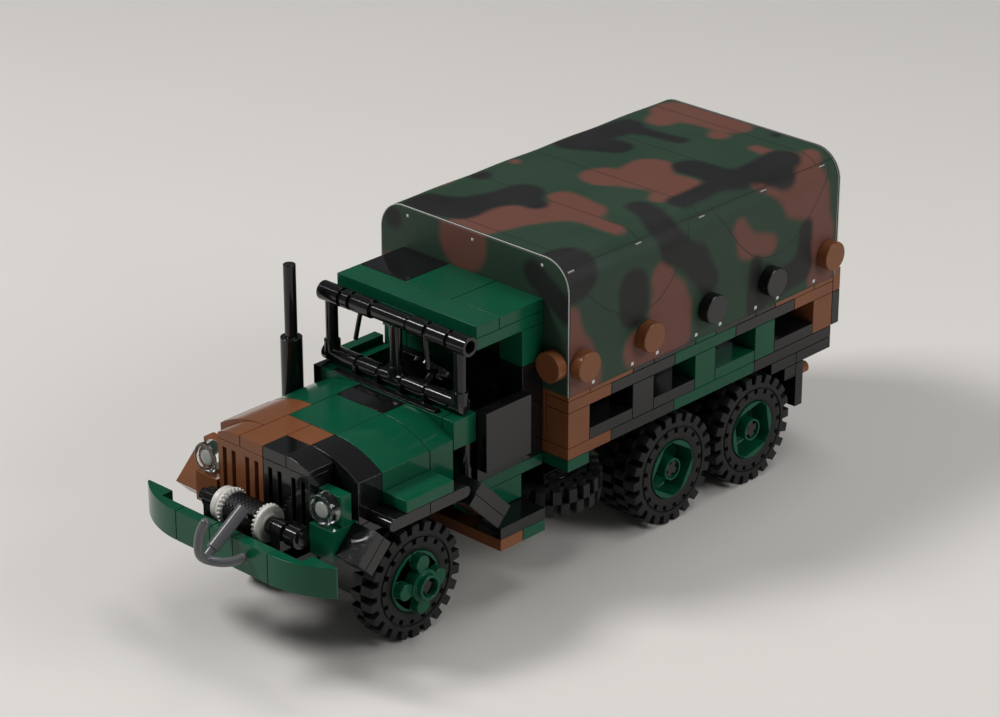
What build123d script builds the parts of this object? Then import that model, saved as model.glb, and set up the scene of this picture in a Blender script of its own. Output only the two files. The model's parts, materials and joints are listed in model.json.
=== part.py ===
from build123d import *
import os
from math import cos, radians, sin
from typing import NamedTuple

# Driving dimensions of the brick system, in millimetres
STUD = 8.0
PLATE = 3.2
REVEAL = 0.1
PIN_RADIUS = 2.4
PIN_CLEARANCE = 0.05
BAR_RADIUS = 1.6
PIN_HOLE_ABOVE_BRICK = 5.8

# Wheels: every tyre is alike, twins stand side by side at the two back axles
TYRE_RADIUS = 15.2
TYRE_WIDTH = 7.0
TREAD_ROOT = 12.8
LUG_COUNT = 20
LUG_TIP_SHARE = 0.86
BORE_SIDES = 16
RIM_RADIUS = 7.9
TYRE_SEAT_GAP = 0.05
TWIN_OUTER_FACE = 32.0
TWIN_PITCH = 8.0
FRONT_OUTER_FACE = 26.7
DISH_DEPTH = 4.6
DISH_WIDTH = 10.6
DISH_CORNER = 0.8
DISH_TURNS = {"mid": -23.0, "rear": 11.0}
FRONT_DISH_RADIUS = 6.6
FRONT_DISH_DEPTH = 2.0
HUB_TUBE_RADIUS = 3.3
KNOB_REACH = 5.0
KNOB_THICKNESS = 2.6
KNOB_BOSS_RADIUS = 4.2
KNOB_BOSS_THICKNESS = 3.4
KNOB_LOBE_RADIUS = 2.2
KNOB_LOBE_OFFSET = 5.6
AXLE_RECESS = 1.2
AXLE_ARM = 1.8
AXLE_NOTCH = 1.5
AXLE_ROWS = {"front": -6.0, "mid": 5.0, "rear": 9.0}

# Lengthwise places in studs, counted from the front of the bed
BED_LENGTH = 13.0
BED_HALF_WIDTH = 4.0
WALL_INSIDE = 3.0
CAB_BACK = -0.06
TAILGATE_THICKNESS = 0.4

# Tarpaulin sheet, wrapped close round the outside of the bed's walls
TARP_THICKNESS = 0.3
TARP_CLEARANCE = 0.05
TARP_HALF_WIDTH = BED_HALF_WIDTH * STUD - REVEAL + TARP_CLEARANCE + TARP_THICKNESS
TARP_TOP = 84.4
TARP_BOTTOM = 49.2
TARP_CORNER = 8.0
TARP_FRONT = -0.35
DISC_RADIUS = 4.0

# Front end: winch close to the grille, bumper close to the winch, hook hung over the bumper
GRILLE_FRONT = -9.0
GEAR_RADIUS = 4.9
WINCH_CLEARANCE = 0.1
BUMPER_CLEARANCE = 0.9
BUMPER_THICKNESS = PLATE
BUMPER_LOW = 25.3
BUMPER_HEIGHT = STUD
HOOK_AHEAD = 5.349
HOOK_LEAN = 34.0
HOOK_SHANK = 12.3
HOOK_SHANK_RADIUS = 1.6
HOOK_BAR_RADIUS = 1.15
HOOK_REACH = 5.3
HOOK_CLEARANCE = 0.3
WINCH_FROM_BED = GRILLE_FRONT * STUD - WINCH_CLEARANCE - GEAR_RADIUS
BUMPER_FRONT = WINCH_FROM_BED - GEAR_RADIUS - BUMPER_CLEARANCE - BUMPER_THICKNESS
LEAN_SIN = sin(radians(HOOK_LEAN))
LEAN_COS = cos(radians(HOOK_LEAN))
HOOK_FOOT = BUMPER_FRONT - HOOK_AHEAD
HOOK_FRONT = HOOK_FOOT - HOOK_REACH - HOOK_BAR_RADIUS

# Heights and the frame: axles sit in pin holes, the origin is under the middle of the truck
GRID_BASE = TYRE_RADIUS - PIN_HOLE_ABOVE_BRICK
REAR_REACH = (BED_LENGTH + TAILGATE_THICKNESS) * STUD - REVEAL
MIDDLE_Y = (HOOK_FRONT + REAR_REACH) / 2


class Brick(NamedTuple):
    """A block on the grid: studs in x and y, plates in k."""

    x0: float
    x1: float
    y0: float
    y1: float
    k0: float
    k1: float

    def mirrored(self):
        """The same block on the other side of the truck."""
        return Brick(-self.x1, -self.x0, self.y0, self.y1, self.k0, self.k1)


def at_y(y_from_bed):
    """Millimetres behind the bed's front turned into the truck's own y."""
    return y_from_bed - MIDDLE_Y


def stud_y(y):
    """Studs behind the bed's front turned into the truck's own y."""
    return at_y(y * STUD)


def plate_z(k):
    """Height of plate line k above the floor."""
    return GRID_BASE + k * PLATE


def both_sides(rows):
    """Each row and its mirror image."""
    return [brick for row in rows for brick in (Brick(*row), Brick(*row).mirrored())]


def lay(rows):
    """Adds the blocks of a table to the part being built, each with a reveal to its neighbours."""
    for row in rows:
        brick = Brick(*row)
        middle = (
            (brick.x0 + brick.x1) / 2 * STUD,
            (stud_y(brick.y0) + stud_y(brick.y1)) / 2,
            (plate_z(brick.k0) + plate_z(brick.k1) - REVEAL) / 2,
        )
        with Locations(middle):
            Box(
                (brick.x1 - brick.x0) * STUD - 2 * REVEAL,
                (brick.y1 - brick.y0) * STUD - 2 * REVEAL,
                (brick.k1 - brick.k0) * PLATE - REVEAL,
            )


def rod_x(x0, x1, y, z, radius, mode=Mode.ADD):
    """A round bar along x."""
    with Locations(Location(((x0 + x1) / 2, y, z), (0, 90, 0))):
        Cylinder(radius, abs(x1 - x0), mode=mode)


def rod_y(x, y0, y1, z, radius, mode=Mode.ADD):
    """A round bar along y."""
    with Locations(Location((x, (y0 + y1) / 2, z), (90, 0, 0))):
        Cylinder(radius, abs(y1 - y0), mode=mode)


def rod_z(x, y, z0, z1, radius, mode=Mode.ADD):
    """A round bar along z."""
    with Locations((x, y, (z0 + z1) / 2)):
        Cylinder(radius, abs(z1 - z0), mode=mode)


def save(built, label):
    """Labels a finished piece and writes it."""
    built.part.label = label
    export_step(built.part, f"parts/{label}.step")


os.makedirs("parts", exist_ok=True)

# Bed wall of one side: columns, low bars, rail plates and top course, columns y0, y1, k0, k1
WALL_BROWN = [
    (0, 1, 8, 11), (12, 13, 8, 11), (0, 2, 11, 12), (11, 13, 11, 12),
    (0, 1, 12, 13), (12, 13, 12, 13), (1, 3, 12, 13), (10, 12, 12, 13),
]
WALL_BLACK = [
    (3, 4, 8, 11), (1, 3, 8, 9), (4, 6, 8, 9), (10, 12, 8, 9), (2, 5, 11, 12),
    (8, 11, 11, 12), (3, 4, 12, 13), (9, 10, 12, 13), (4, 6, 12, 13), (7, 9, 12, 13),
]
WALL_GREEN = [
    (6, 7, 8, 11), (9, 10, 8, 11), (7, 9, 8, 9), (5, 8, 11, 12), (6, 7, 12, 13),
]


def wall(rows):
    """Both side walls of the bed from one side's table."""
    return both_sides([(WALL_INSIDE, BED_HALF_WIDTH, *row) for row in rows])


ACROSS_BED = (-BED_HALF_WIDTH, BED_HALF_WIDTH)
DISC_ROWS = [(0.5, "brown"), (3.5, "brown"), (6.5, "black"), (9.5, "black"), (12.5, "brown")]

# Lamp brackets as y0, y1, k0, k1: a foot with a ledge, and the upright that carries the lens
LAMP_BRACKET = [(-9.07, -8.0, 6, 8.5), (-8.69, -8.25, 8.5, 11)]
COWL_LOW = 10.6
COWL_END = -2.78
FLAP_FRONT = 11.2
FLAP_BACK = 11.6

# Blocks by node, columns x0, x1, y0, y1 in studs and k0, k1 in plates
BLOCKS = {
    "chassis_brown": [(-4, 4, -3, -2, 2, 3)],
    "chassis_green": [
        (-4, 4, -2, -1, 2, 3), (-3, 3, -4, CAB_BACK, 6, 7), (*ACROSS_BED, 0, 1, 6, 7),
        *both_sides([(2, 3, -3, -1, 4, 6)]),
    ],
    "cab_back_green": [
        (-3, -2, -1, CAB_BACK, 7, 18), (-2, 0, -1, CAB_BACK, 7, 14), (2, 3, -1, CAB_BACK, 15, 18),
    ],
    "cab_back_black": [(0, 2, -1, CAB_BACK, 7, 14), (2, 3, -1, CAB_BACK, 7, 15)],
    "cab_roof_green": [
        (-3, 3, -3, CAB_BACK, 18, 19), (-3, 3, -3, -2, 19, 20), (-1, 1, -2, CAB_BACK, 19, 20),
        (1, 3, -2, CAB_BACK, 19, 20),
    ],
    "cab_roof_black": [(-3, -1, -2, CAB_BACK, 19, 20)],
    "cowl": [
        (COWL_END, -1, -4, -3, COWL_LOW, 13), (-1, 1, -4, -3, COWL_LOW, 13), (1, 2.5, -4, -3, COWL_LOW, 13),
        (2.5, 3, -4, -3, COWL_LOW, 13), (-2, 2, -4, -3, 7, COWL_LOW),
    ],
    "seats": both_sides([(0.4, 2.2, -2.4, -1, 7, 9), (0.4, 2.2, -1.4, -1, 9, 13)]),
    "headlight_bracket_green": [(2, 3, *row) for row in LAMP_BRACKET],
    "headlight_bracket_brown": [(-3, -2, *row) for row in LAMP_BRACKET],
    "fender_tiles": both_sides([(3, 4, -7, -5, 9, 10)]),
    "tailgate_black": [(*ACROSS_BED, BED_LENGTH, BED_LENGTH + TAILGATE_THICKNESS, 8, 11)],
    "tailgate_brown": [(*ACROSS_BED, BED_LENGTH, BED_LENGTH + TAILGATE_THICKNESS, 11, 13)],
    "mudflaps": both_sides([
        (2, 4, 11.2, 13, 6, 7), (3, 4, 9.9, 11.2, 6, 7), (3, 4, 10.6, 11.2, 5, 6),
        (3, 4, FLAP_FRONT, FLAP_BACK, 2, 6),
    ]),
    "tarp_posts": wall([(y - 0.5, y + 0.5, 13, 16) for y, _ in DISC_ROWS]),
    "bed_brown": [
        (*ACROSS_BED, 0, 2, 7, 8), (-WALL_INSIDE, WALL_INSIDE, 0, 1, 8, 13), *wall(WALL_BROWN),
    ],
    "bed_black": [(*ACROSS_BED, 2, 5, 7, 8), (*ACROSS_BED, 9, 13, 7, 8), *wall(WALL_BLACK)],
    "bed_green": [(*ACROSS_BED, 5, 9, 7, 8), *wall(WALL_GREEN)],
}
for label, rows in BLOCKS.items():
    with BuildPart() as blocks:
        lay(rows)
    save(blocks, label)

# Chassis: a spine, axle carriers with pin holes, risers, front plate, running boards, cowl posts
AXLE_Z = TYRE_RADIUS
BUMPER_BACK = (BUMPER_FRONT + BUMPER_THICKNESS) / STUD
COWL_POST_X = 22.0
COWL_POST_Y = at_y(-26.0)
with BuildPart() as chassis_black:
    lay([
        (-1, 1, -8, 13, 4, 6), (-2, 2, BUMPER_BACK, -8, 5, 6), (-1, 1, 1, 13, 6, 7), (1, 3, 0, 2, 4, 5),
        *both_sides([(3, 4, -3, -1, 3, 4), (1, 3, -8, -4, 7, 8)]),
        *[(-2, 2, y - 1, y + 1, k0, k1) for y in AXLE_ROWS.values() for k0, k1 in ((0, 3), (3, 4))],
        (-1, 1, -3, -1, 3, 4), (-3.1, COWL_END, -4, -3, COWL_LOW, 13),
    ])
    for row_y in AXLE_ROWS.values():
        rod_x(-2 * STUD, 2 * STUD, stud_y(row_y), AXLE_Z, PIN_RADIUS + PIN_CLEARANCE, Mode.SUBTRACT)
    for side in (1, -1):
        rod_z(side * COWL_POST_X, COWL_POST_Y, plate_z(7), plate_z(COWL_LOW) - REVEAL, BAR_RADIUS)
save(chassis_black, "chassis_black")


def across(x, y, z=AXLE_Z):
    """A sketch plane that faces along x, centred on a wheel or a shaft."""
    return Plane(origin=(x, y, z), x_dir=(0, 1, 0), z_dir=(1, 0, 0))


# Axles: round where they turn, cross-shaped at their ends
AXLE_ENDS = {
    "front": FRONT_OUTER_FACE + KNOB_REACH - AXLE_RECESS,
    "mid": TWIN_OUTER_FACE - AXLE_RECESS,
    "rear": TWIN_OUTER_FACE - AXLE_RECESS,
}
with BuildPart() as axles:
    for row, row_y in AXLE_ROWS.items():
        rod_x(-AXLE_ENDS[row], AXLE_ENDS[row], stud_y(row_y), AXLE_Z, PIN_RADIUS)
        for side in (1, -1):
            with BuildSketch(across(side * AXLE_ENDS[row], stud_y(row_y))):
                with GridLocations(AXLE_ARM + PIN_RADIUS, AXLE_ARM + PIN_RADIUS, 2, 2):
                    Rectangle(PIN_RADIUS, PIN_RADIUS)
            extrude(amount=-side * AXLE_NOTCH, mode=Mode.SUBTRACT)
save(axles, "axles")


def toothed(count, root, tip, tip_share, turn=0.0):
    """Adds a wheel's outline to the sketch: a tooth on every other side of a polygon, flat tops at tip."""
    quarter = 90 / count
    half_tip = quarter * tip_share
    tip_corner = tip / cos(radians(half_tip))
    corners = [(root, -quarter), (tip_corner, -half_tip), (tip_corner, half_tip), (root, quarter)]
    points = [
        (radius * cos(angle), radius * sin(angle))
        for tooth in range(count)
        for radius, corner in corners
        for angle in [radians(turn - 90 + tooth * 360 / count + corner)]
    ]
    Polygon(*points, align=None)


# Tyres about the x axis: two rows of lugs that stand in each other's gaps, or one row inside a twin
LUG_ROWS = {
    "offset": [(-TYRE_WIDTH / 2, 0, 0), (0, TYRE_WIDTH / 2, 180 / LUG_COUNT)],
    "single": [(-TYRE_WIDTH / 2, TYRE_WIDTH / 2, 0)],
}
TYRES = {}
for tread, rows in LUG_ROWS.items():
    with BuildPart() as tyre:
        for x0, x1, turn in rows:
            with BuildSketch(across(x0, 0, 0)):
                toothed(LUG_COUNT, TREAD_ROOT, TYRE_RADIUS, LUG_TIP_SHARE, turn)
                RegularPolygon(RIM_RADIUS, BORE_SIDES, major_radius=False, mode=Mode.SUBTRACT)
            extrude(amount=x1 - x0)
    TYRES[tread] = tyre.part


def tyre_at(tread, outer_face, side, y):
    """One tyre round its axle, its outer sidewall at the given face."""
    return TYRES[tread].moved(Location((side * (outer_face - TYRE_WIDTH / 2), y, AXLE_Z)))


def rim_between(inner_face, outer_face, side, y):
    """The rim drum that a tyre sits on."""
    rod_x(side * inner_face, side * outer_face, y, AXLE_Z, RIM_RADIUS - TYRE_SEAT_GAP)


def square_dish(side, y, turn):
    """The four-walled dish of a twin hub, turned about its axle, to be cut from its rim."""
    with BuildSketch(across(side * TWIN_OUTER_FACE, y)) as recess:
        RectangleRounded(DISH_WIDTH, DISH_WIDTH, DISH_CORNER, rotation=turn)
    return extrude(recess.sketch, -side * DISH_DEPTH, mode=Mode.PRIVATE)


def bore_hub(inner_face, outer_face, side, y):
    """Cuts the running bore for the axle."""
    rod_x(side * inner_face, side * outer_face, y, AXLE_Z, PIN_RADIUS + PIN_CLEARANCE, Mode.SUBTRACT)


TWIN_INNER_FACE = TWIN_OUTER_FACE - TWIN_PITCH - TYRE_WIDTH
TWIN_TYRES = [("single", TWIN_OUTER_FACE - TWIN_PITCH), ("offset", TWIN_OUTER_FACE)]
for side_name, side in (("left", 1), ("right", -1)):
    # Single front wheel with a four-lobed knob, a boss and a tube in front of its rim
    y = stud_y(AXLE_ROWS["front"])
    with BuildPart() as front_tyre:
        add(tyre_at("offset", FRONT_OUTER_FACE, side, y))
    save(front_tyre, f"tyre_front_{side_name}")
    knob_back = FRONT_OUTER_FACE - FRONT_DISH_DEPTH
    boss_face = FRONT_OUTER_FACE + KNOB_BOSS_THICKNESS
    tube_face = FRONT_OUTER_FACE + KNOB_REACH
    with BuildPart() as front_hub:
        rim_between(FRONT_OUTER_FACE - TYRE_WIDTH, FRONT_OUTER_FACE, side, y)
        rod_x(side * knob_back, side * FRONT_OUTER_FACE, y, AXLE_Z, FRONT_DISH_RADIUS, Mode.SUBTRACT)
        rod_x(side * knob_back, side * boss_face, y, AXLE_Z, KNOB_BOSS_RADIUS)
        rod_x(side * boss_face, side * tube_face, y, AXLE_Z, HUB_TUBE_RADIUS)
        for lobe in PolarLocations(KNOB_LOBE_OFFSET, 4):
            rod_x(
                side * knob_back, side * (FRONT_OUTER_FACE + KNOB_THICKNESS),
                y + lobe.position.X, AXLE_Z + lobe.position.Y, KNOB_LOBE_RADIUS,
            )
        bore_hub(FRONT_OUTER_FACE - TYRE_WIDTH, tube_face, side, y)
    save(front_hub, f"hub_front_{side_name}")
    # Twin wheels: two tyres on one dished hub
    for row in ("mid", "rear"):
        y = stud_y(AXLE_ROWS[row])
        with BuildPart() as twin_tyres:
            for tread, face in TWIN_TYRES:
                add(tyre_at(tread, face, side, y))
        save(twin_tyres, f"tyres_{row}_{side_name}")
        with BuildPart() as twin_hub:
            rim_between(TWIN_INNER_FACE, TWIN_OUTER_FACE, side, y)
            add(square_dish(side, y, DISH_TURNS[row]), mode=Mode.SUBTRACT)
            rod_x(side * (TWIN_OUTER_FACE - DISH_DEPTH), side * TWIN_OUTER_FACE, y, AXLE_Z, HUB_TUBE_RADIUS)
            bore_hub(TWIN_INNER_FACE, TWIN_OUTER_FACE, side, y)
        save(twin_hub, f"hub_{row}_{side_name}")

# Spare wheel, flat under the front of the bed
SPARE_X = 2 * STUD
SPARE_Y = stud_y(1)
SPARE_TOP = plate_z(4) - REVEAL
with BuildPart() as spare_tyre:
    add(TYRES["offset"].moved(Location((SPARE_X, SPARE_Y, SPARE_TOP - TYRE_WIDTH / 2), (0, 90, 0))))
save(spare_tyre, "spare_tyre")
with BuildPart() as spare_hub:
    rod_z(SPARE_X, SPARE_Y, SPARE_TOP - TYRE_WIDTH, SPARE_TOP, RIM_RADIUS - TYRE_SEAT_GAP)
    rod_z(SPARE_X, SPARE_Y, SPARE_TOP - TYRE_WIDTH, SPARE_TOP, PIN_RADIUS, Mode.SUBTRACT)
save(spare_hub, "spare_hub")

# Hood: flat middle, curved sides that end in a lip above the fenders
HOOD_TOP = plate_z(13) - REVEAL
HOOD_LIP = plate_z(11.5)
HOOD_SKIRT = plate_z(8)
HOOD_FLAT = 1 * STUD
HOOD_SIDE = 3 * STUD
BROW_SIDE = 2 * STUD
BROW_LIP = 49.2


def hood_side(side, y0, y1):
    """A stretch of the hood's curved side, with its wall, between two stud lines."""
    inner = side * (HOOD_FLAT + REVEAL)
    outer = side * (HOOD_SIDE - REVEAL)
    wall_inside = side * (HOOD_SIDE - STUD + REVEAL)
    front = stud_y(y0) + REVEAL
    with BuildSketch(Plane.XZ.offset(-front)) as section:
        with BuildLine():
            Polyline(
                (outer, HOOD_LIP), (outer, HOOD_SKIRT), (wall_inside, HOOD_SKIRT),
                (wall_inside, plate_z(11)), (inner, plate_z(11)), (inner, HOOD_TOP),
            )
            TangentArc((inner, HOOD_TOP), (outer, HOOD_LIP), tangent=(side, 0))
        make_face()
    return extrude(section.sketch, -((y1 - y0) * STUD - 2 * REVEAL), mode=Mode.PRIVATE)


def hood_brow(side):
    """The hood's front piece over the grille, rounded down towards the lamp."""
    inner = side * (HOOD_FLAT + REVEAL)
    outer = side * (BROW_SIDE - REVEAL)
    with BuildSketch(Plane.XZ.offset(-stud_y(GRILLE_FRONT) - REVEAL)) as section:
        with BuildLine():
            Polyline((outer, BROW_LIP), (outer, plate_z(12)), (inner, plate_z(12)), (inner, HOOD_TOP))
            TangentArc((inner, HOOD_TOP), (outer, BROW_LIP), tangent=(side, 0))
        make_face()
    return extrude(section.sketch, -(STUD - 2 * REVEAL), mode=Mode.PRIVATE)


# Hood pieces by colour: curved sides as side, y0, y1, then the brow's side, then flat blocks
HOOD_PIECES = {
    "hood_green": ([(1, -7, -5), (1, -5, -4), (-1, -6, -4)], None, [(-1, 1, -7, -5, 12, 13)]),
    "hood_brown": ([(-1, -8, -6)], -1, [(-1, 0, GRILLE_FRONT, -7, 12, 13), (0, 1, -8, -7, 12, 13)]),
    "hood_black": (
        [(1, -8, -7)], 1,
        [(0, 1, GRILLE_FRONT, -8, 12, 13), (-1, 1, -5, -4, 12, 13), (-1, 1, -8, -4, 6, 12)],
    ),
}
for label, (sides, brow, blocks) in HOOD_PIECES.items():
    with BuildPart() as hood:
        for side, y0, y1 in sides:
            add(hood_side(side, y0, y1))
        if brow:
            add(hood_brow(brow))
        lay(blocks)
    save(hood, label)

# Grille: slotted blocks, two slots to a stud
SLOT_WIDTH = 1.3
SLOT_DEPTH = 1.4
SLOT_SPREAD = 1.6
SLOT_LOW = plate_z(7.8)
SLOT_HIGH = plate_z(11.4)
for label, stud0, stud1 in (("grille_brown", -2, 0), ("grille_black", 0, 2)):
    with BuildPart() as grille:
        lay([(stud0, stud1, GRILLE_FRONT, -8, 6, 12)])
        for stud in range(stud0, stud1):
            for offset_x in (-SLOT_SPREAD, SLOT_SPREAD):
                slot_x = (stud + 0.5) * STUD + offset_x
                with Locations((slot_x, stud_y(GRILLE_FRONT) + REVEAL, (SLOT_LOW + SLOT_HIGH) / 2)):
                    Box(SLOT_WIDTH, 2 * SLOT_DEPTH, SLOT_HIGH - SLOT_LOW, mode=Mode.SUBTRACT)
    save(grille, label)

# Headlight lenses: a rim, a bowl sunk in it and a round boss in the middle
LAMP_X = 2.5 * STUD
LAMP_Z = 41.0
LAMP_RADIUS = 3.9
LAMP_BOWL_RADIUS = 3.1
LAMP_BOWL_DEPTH = 0.9
LAMP_BOSS_RADIUS = 2.4
LAMP_BACK = stud_y(LAMP_BRACKET[1][0]) + REVEAL / 2
with BuildPart() as headlight_lenses:
    for side in (1, -1):
        lamp_face = LAMP_BACK - PLATE
        rod_y(side * LAMP_X, lamp_face, LAMP_BACK, LAMP_Z, LAMP_RADIUS)
        rod_y(side * LAMP_X, lamp_face, lamp_face + LAMP_BOWL_DEPTH, LAMP_Z, LAMP_BOWL_RADIUS, Mode.SUBTRACT)
        rod_y(side * LAMP_X, lamp_face, lamp_face + LAMP_BOWL_DEPTH, LAMP_Z, LAMP_BOSS_RADIUS)
save(headlight_lenses, "headlight_lenses")

# Bumper: a flat middle and two ends that curve back, with a thicker tip behind a notch
BUMPER_END_FRONT = BUMPER_FRONT + 6.0
BUMPER_HALF = 32.9
BUMPER_SEAM = 2 * STUD
BUMPER_TIP = 0.6
NOTCH_X = 24.4


def bumper_end(side):
    """One curved end of the bumper, drawn in plan."""
    seam_x = side * (BUMPER_SEAM + REVEAL)
    tip_x = side * BUMPER_HALF
    notch_x = side * NOTCH_X
    back_y = at_y(BUMPER_FRONT + BUMPER_THICKNESS)
    tip_y = at_y(BUMPER_END_FRONT + BUMPER_TIP)
    with BuildSketch(Plane.XY.offset(BUMPER_LOW)) as plan:
        with BuildLine():
            TangentArc((seam_x, at_y(BUMPER_FRONT)), (tip_x, at_y(BUMPER_END_FRONT)), tangent=(side, 0))
            Polyline(
                (tip_x, at_y(BUMPER_END_FRONT)), (tip_x, tip_y), (notch_x, tip_y),
                (notch_x, back_y), (seam_x, back_y), (seam_x, at_y(BUMPER_FRONT)),
            )
        make_face()
    return extrude(plan.sketch, BUMPER_HEIGHT, mode=Mode.PRIVATE)


BUMPER_CENTRE = 0.5 * STUD
bumper_middle_y = at_y(BUMPER_FRONT + BUMPER_THICKNESS / 2)
bumper_middle_z = BUMPER_LOW + BUMPER_HEIGHT / 2
with BuildPart() as bumper:
    for side in (1, -1):
        add(bumper_end(side))
        with Locations((side * (BUMPER_SEAM + BUMPER_CENTRE) / 2, bumper_middle_y, bumper_middle_z)):
            Box(BUMPER_SEAM - BUMPER_CENTRE - 2 * REVEAL, BUMPER_THICKNESS, BUMPER_HEIGHT)
save(bumper, "bumper")
with BuildPart() as bumper_centre:
    with Locations((0, bumper_middle_y, bumper_middle_z)):
        Box(2 * BUMPER_CENTRE - 2 * REVEAL, BUMPER_THICKNESS, BUMPER_HEIGHT)
save(bumper_centre, "bumper_centre")

# Winch between grille and bumper: drum, collars, cheeks, toothed wheels and the hook's arm
WINCH_Y = at_y(WINCH_FROM_BED)
WINCH_Z = 34.6
WINCH_ENDS = (-16.0, 18.8)
GEAR_TEETH = 20
GEAR_ROOT = 4.4
GEAR_PLACES = [(-9.0, -7.1, False), (-6.8, -4.8, True), (5.4, 7.6, True)]
DRUM_RADIUS = 4.0
DRUM_ROOT = 3.7
DRUM_RIDGES = 20
DRUM_ENDS = (-4.6, 5.2)
COLLARS = [(-13.8, -9.8, 2.6), (7.8, 9.4, 2.2), (10.0, 13.2, 2.5), (14.6, 18.2, 2.7)]
CHEEK_X = 11.8
CHEEK_LENGTH = 5.0
HOOK_X = 3.0
HOOK_MOUTH_RADIUS = 0.9
HOOK_MOUTH_DEPTH = 2.0
ARM_WIDTH = 2.0
ARM_REACH = 0.5
ARM_THICKNESS = 2.4
HOOK_FOOT_Y = at_y(HOOK_FOOT)
BUMPER_TOP = BUMPER_LOW + BUMPER_HEIGHT
HOOK_FOOT_Z = BUMPER_TOP + (HOOK_SHANK_RADIUS + HOOK_CLEARANCE - HOOK_AHEAD * LEAN_SIN) / LEAN_COS
HEEL_Y = HOOK_FOOT_Y + HOOK_SHANK * LEAN_COS + HOOK_SHANK_RADIUS * LEAN_SIN
HEEL_Z = HOOK_FOOT_Z + HOOK_SHANK * LEAN_SIN - HOOK_SHANK_RADIUS * LEAN_COS
with BuildPart() as winch_drum:
    rod_x(*WINCH_ENDS, WINCH_Y, WINCH_Z, BAR_RADIUS)
    with BuildSketch(across(DRUM_ENDS[0], WINCH_Y, WINCH_Z)):
        toothed(DRUM_RIDGES, DRUM_ROOT, DRUM_RADIUS, LUG_TIP_SHARE)
    extrude(amount=DRUM_ENDS[1] - DRUM_ENDS[0])
    arm_front = HEEL_Y - ARM_REACH
    arm_top = HEEL_Z - HOOK_CLEARANCE
    arm_low = min(WINCH_Z, arm_top - ARM_THICKNESS)
    with Locations((HOOK_X, (arm_front + WINCH_Y) / 2, (arm_low + arm_top) / 2)):
        Box(ARM_WIDTH, WINCH_Y - arm_front, arm_top - arm_low)
    for x0, x1, radius in COLLARS:
        rod_x(x0, x1, WINCH_Y, WINCH_Z, radius)
    for side in (1, -1):
        with Locations((side * CHEEK_X, WINCH_Y, (plate_z(6) + WINCH_Z) / 2)):
            Box(PLATE, CHEEK_LENGTH, WINCH_Z - plate_z(6))
save(winch_drum, "winch_drum")
with BuildPart() as winch_gears:
    for x0, x1, has_teeth in GEAR_PLACES:
        with BuildSketch(across(x0, WINCH_Y, WINCH_Z)):
            if has_teeth:
                toothed(GEAR_TEETH, GEAR_ROOT, GEAR_RADIUS, LUG_TIP_SHARE)
            else:
                Circle(GEAR_ROOT)
            Circle(BAR_RADIUS + PIN_CLEARANCE, mode=Mode.SUBTRACT)
        extrude(amount=x1 - x0)
save(winch_gears, "winch_gears")

# Hook: a leaning shank whose neck ends in a bent bar, from near the bumper round to a raised tip
HOOK_NECK = 3.0
HOOK_BAR_LINE = [
    (6.0, 4.0, -1.7), (4.9, 1.6, -2.2), (2.6, -1.0, -2.1), (0.9, -3.0, -1.2), (0.9, -4.5, 0.4),
    (1.4, -HOOK_REACH, 4.0), (2.1, -4.9, 7.6), (2.9, -4.4, 9.5),
]
hook_foot = Vector(HOOK_X, HOOK_FOOT_Y, HOOK_FOOT_Z)
shank_plane = Plane(hook_foot, x_dir=(1, 0, 0), z_dir=(0, LEAN_COS, LEAN_SIN))
bar_points = [hook_foot + Vector(*point) for point in HOOK_BAR_LINE]
with BuildPart() as hook:
    with BuildSketch(shank_plane):
        Circle(HOOK_SHANK_RADIUS)
    extrude(amount=HOOK_SHANK)
    with BuildSketch(shank_plane.offset(HOOK_SHANK)):
        Circle(HOOK_MOUTH_RADIUS)
    extrude(amount=-HOOK_MOUTH_DEPTH, mode=Mode.SUBTRACT)
    with BuildSketch(shank_plane):
        Circle(HOOK_BAR_RADIUS)
    extrude(amount=-HOOK_NECK)
    with BuildLine() as bar_line:
        Spline(*bar_points)
    with BuildSketch(Plane(bar_points[0], z_dir=bar_line.line % 0)) as bar_section:
        Circle(HOOK_BAR_RADIUS)
    sweep(bar_section.sketch, bar_line.line)
    with Locations(bar_points[0], bar_points[-1]):
        Sphere(HOOK_BAR_RADIUS)
save(hook, "hook")

# Front fenders: hinge plates with round barrels and sloping flaps
FENDER_K = 8
BARREL_RADIUS = 1.55
FLAP_SEAT_GAP = 0.3
FENDER_IN = 3 * STUD + REVEAL
FENDER_OUT = 4 * STUD - REVEAL
FENDER_MIDDLE = (FENDER_IN + FENDER_OUT) / 2
FENDER_WIDTH = FENDER_OUT - FENDER_IN
BARREL_Z = plate_z(FENDER_K + 0.5)
BARRELS = [-7.5, -4.5]
with BuildPart() as fender_hinges:
    lay(both_sides([(3, 4, -7.5, -6, FENDER_K, FENDER_K + 1), (3, 4, -6, -4.5, FENDER_K, FENDER_K + 1)]))
    for side in (1, -1):
        for barrel_y in BARRELS:
            rod_x(side * FENDER_IN, side * FENDER_OUT, stud_y(barrel_y), BARREL_Z - REVEAL / 2, BARREL_RADIUS)
save(fender_hinges, "fender_hinges")


def flap(side, top_y, length, lean):
    """A sloping pair of plates that hangs from a fender's end, its upper edge at top_y."""
    plane = Plane(
        origin=(side * FENDER_MIDDLE, top_y, BARREL_Z - BARREL_RADIUS - FLAP_SEAT_GAP),
        x_dir=(1, 0, 0),
        z_dir=(0, lean, -1),
    )
    with BuildSketch(plane) as end:
        with GridLocations(0, PLATE, 1, 2):
            Rectangle(FENDER_WIDTH, PLATE - REVEAL)
    return extrude(end.sketch, length, mode=Mode.PRIVATE)


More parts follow.
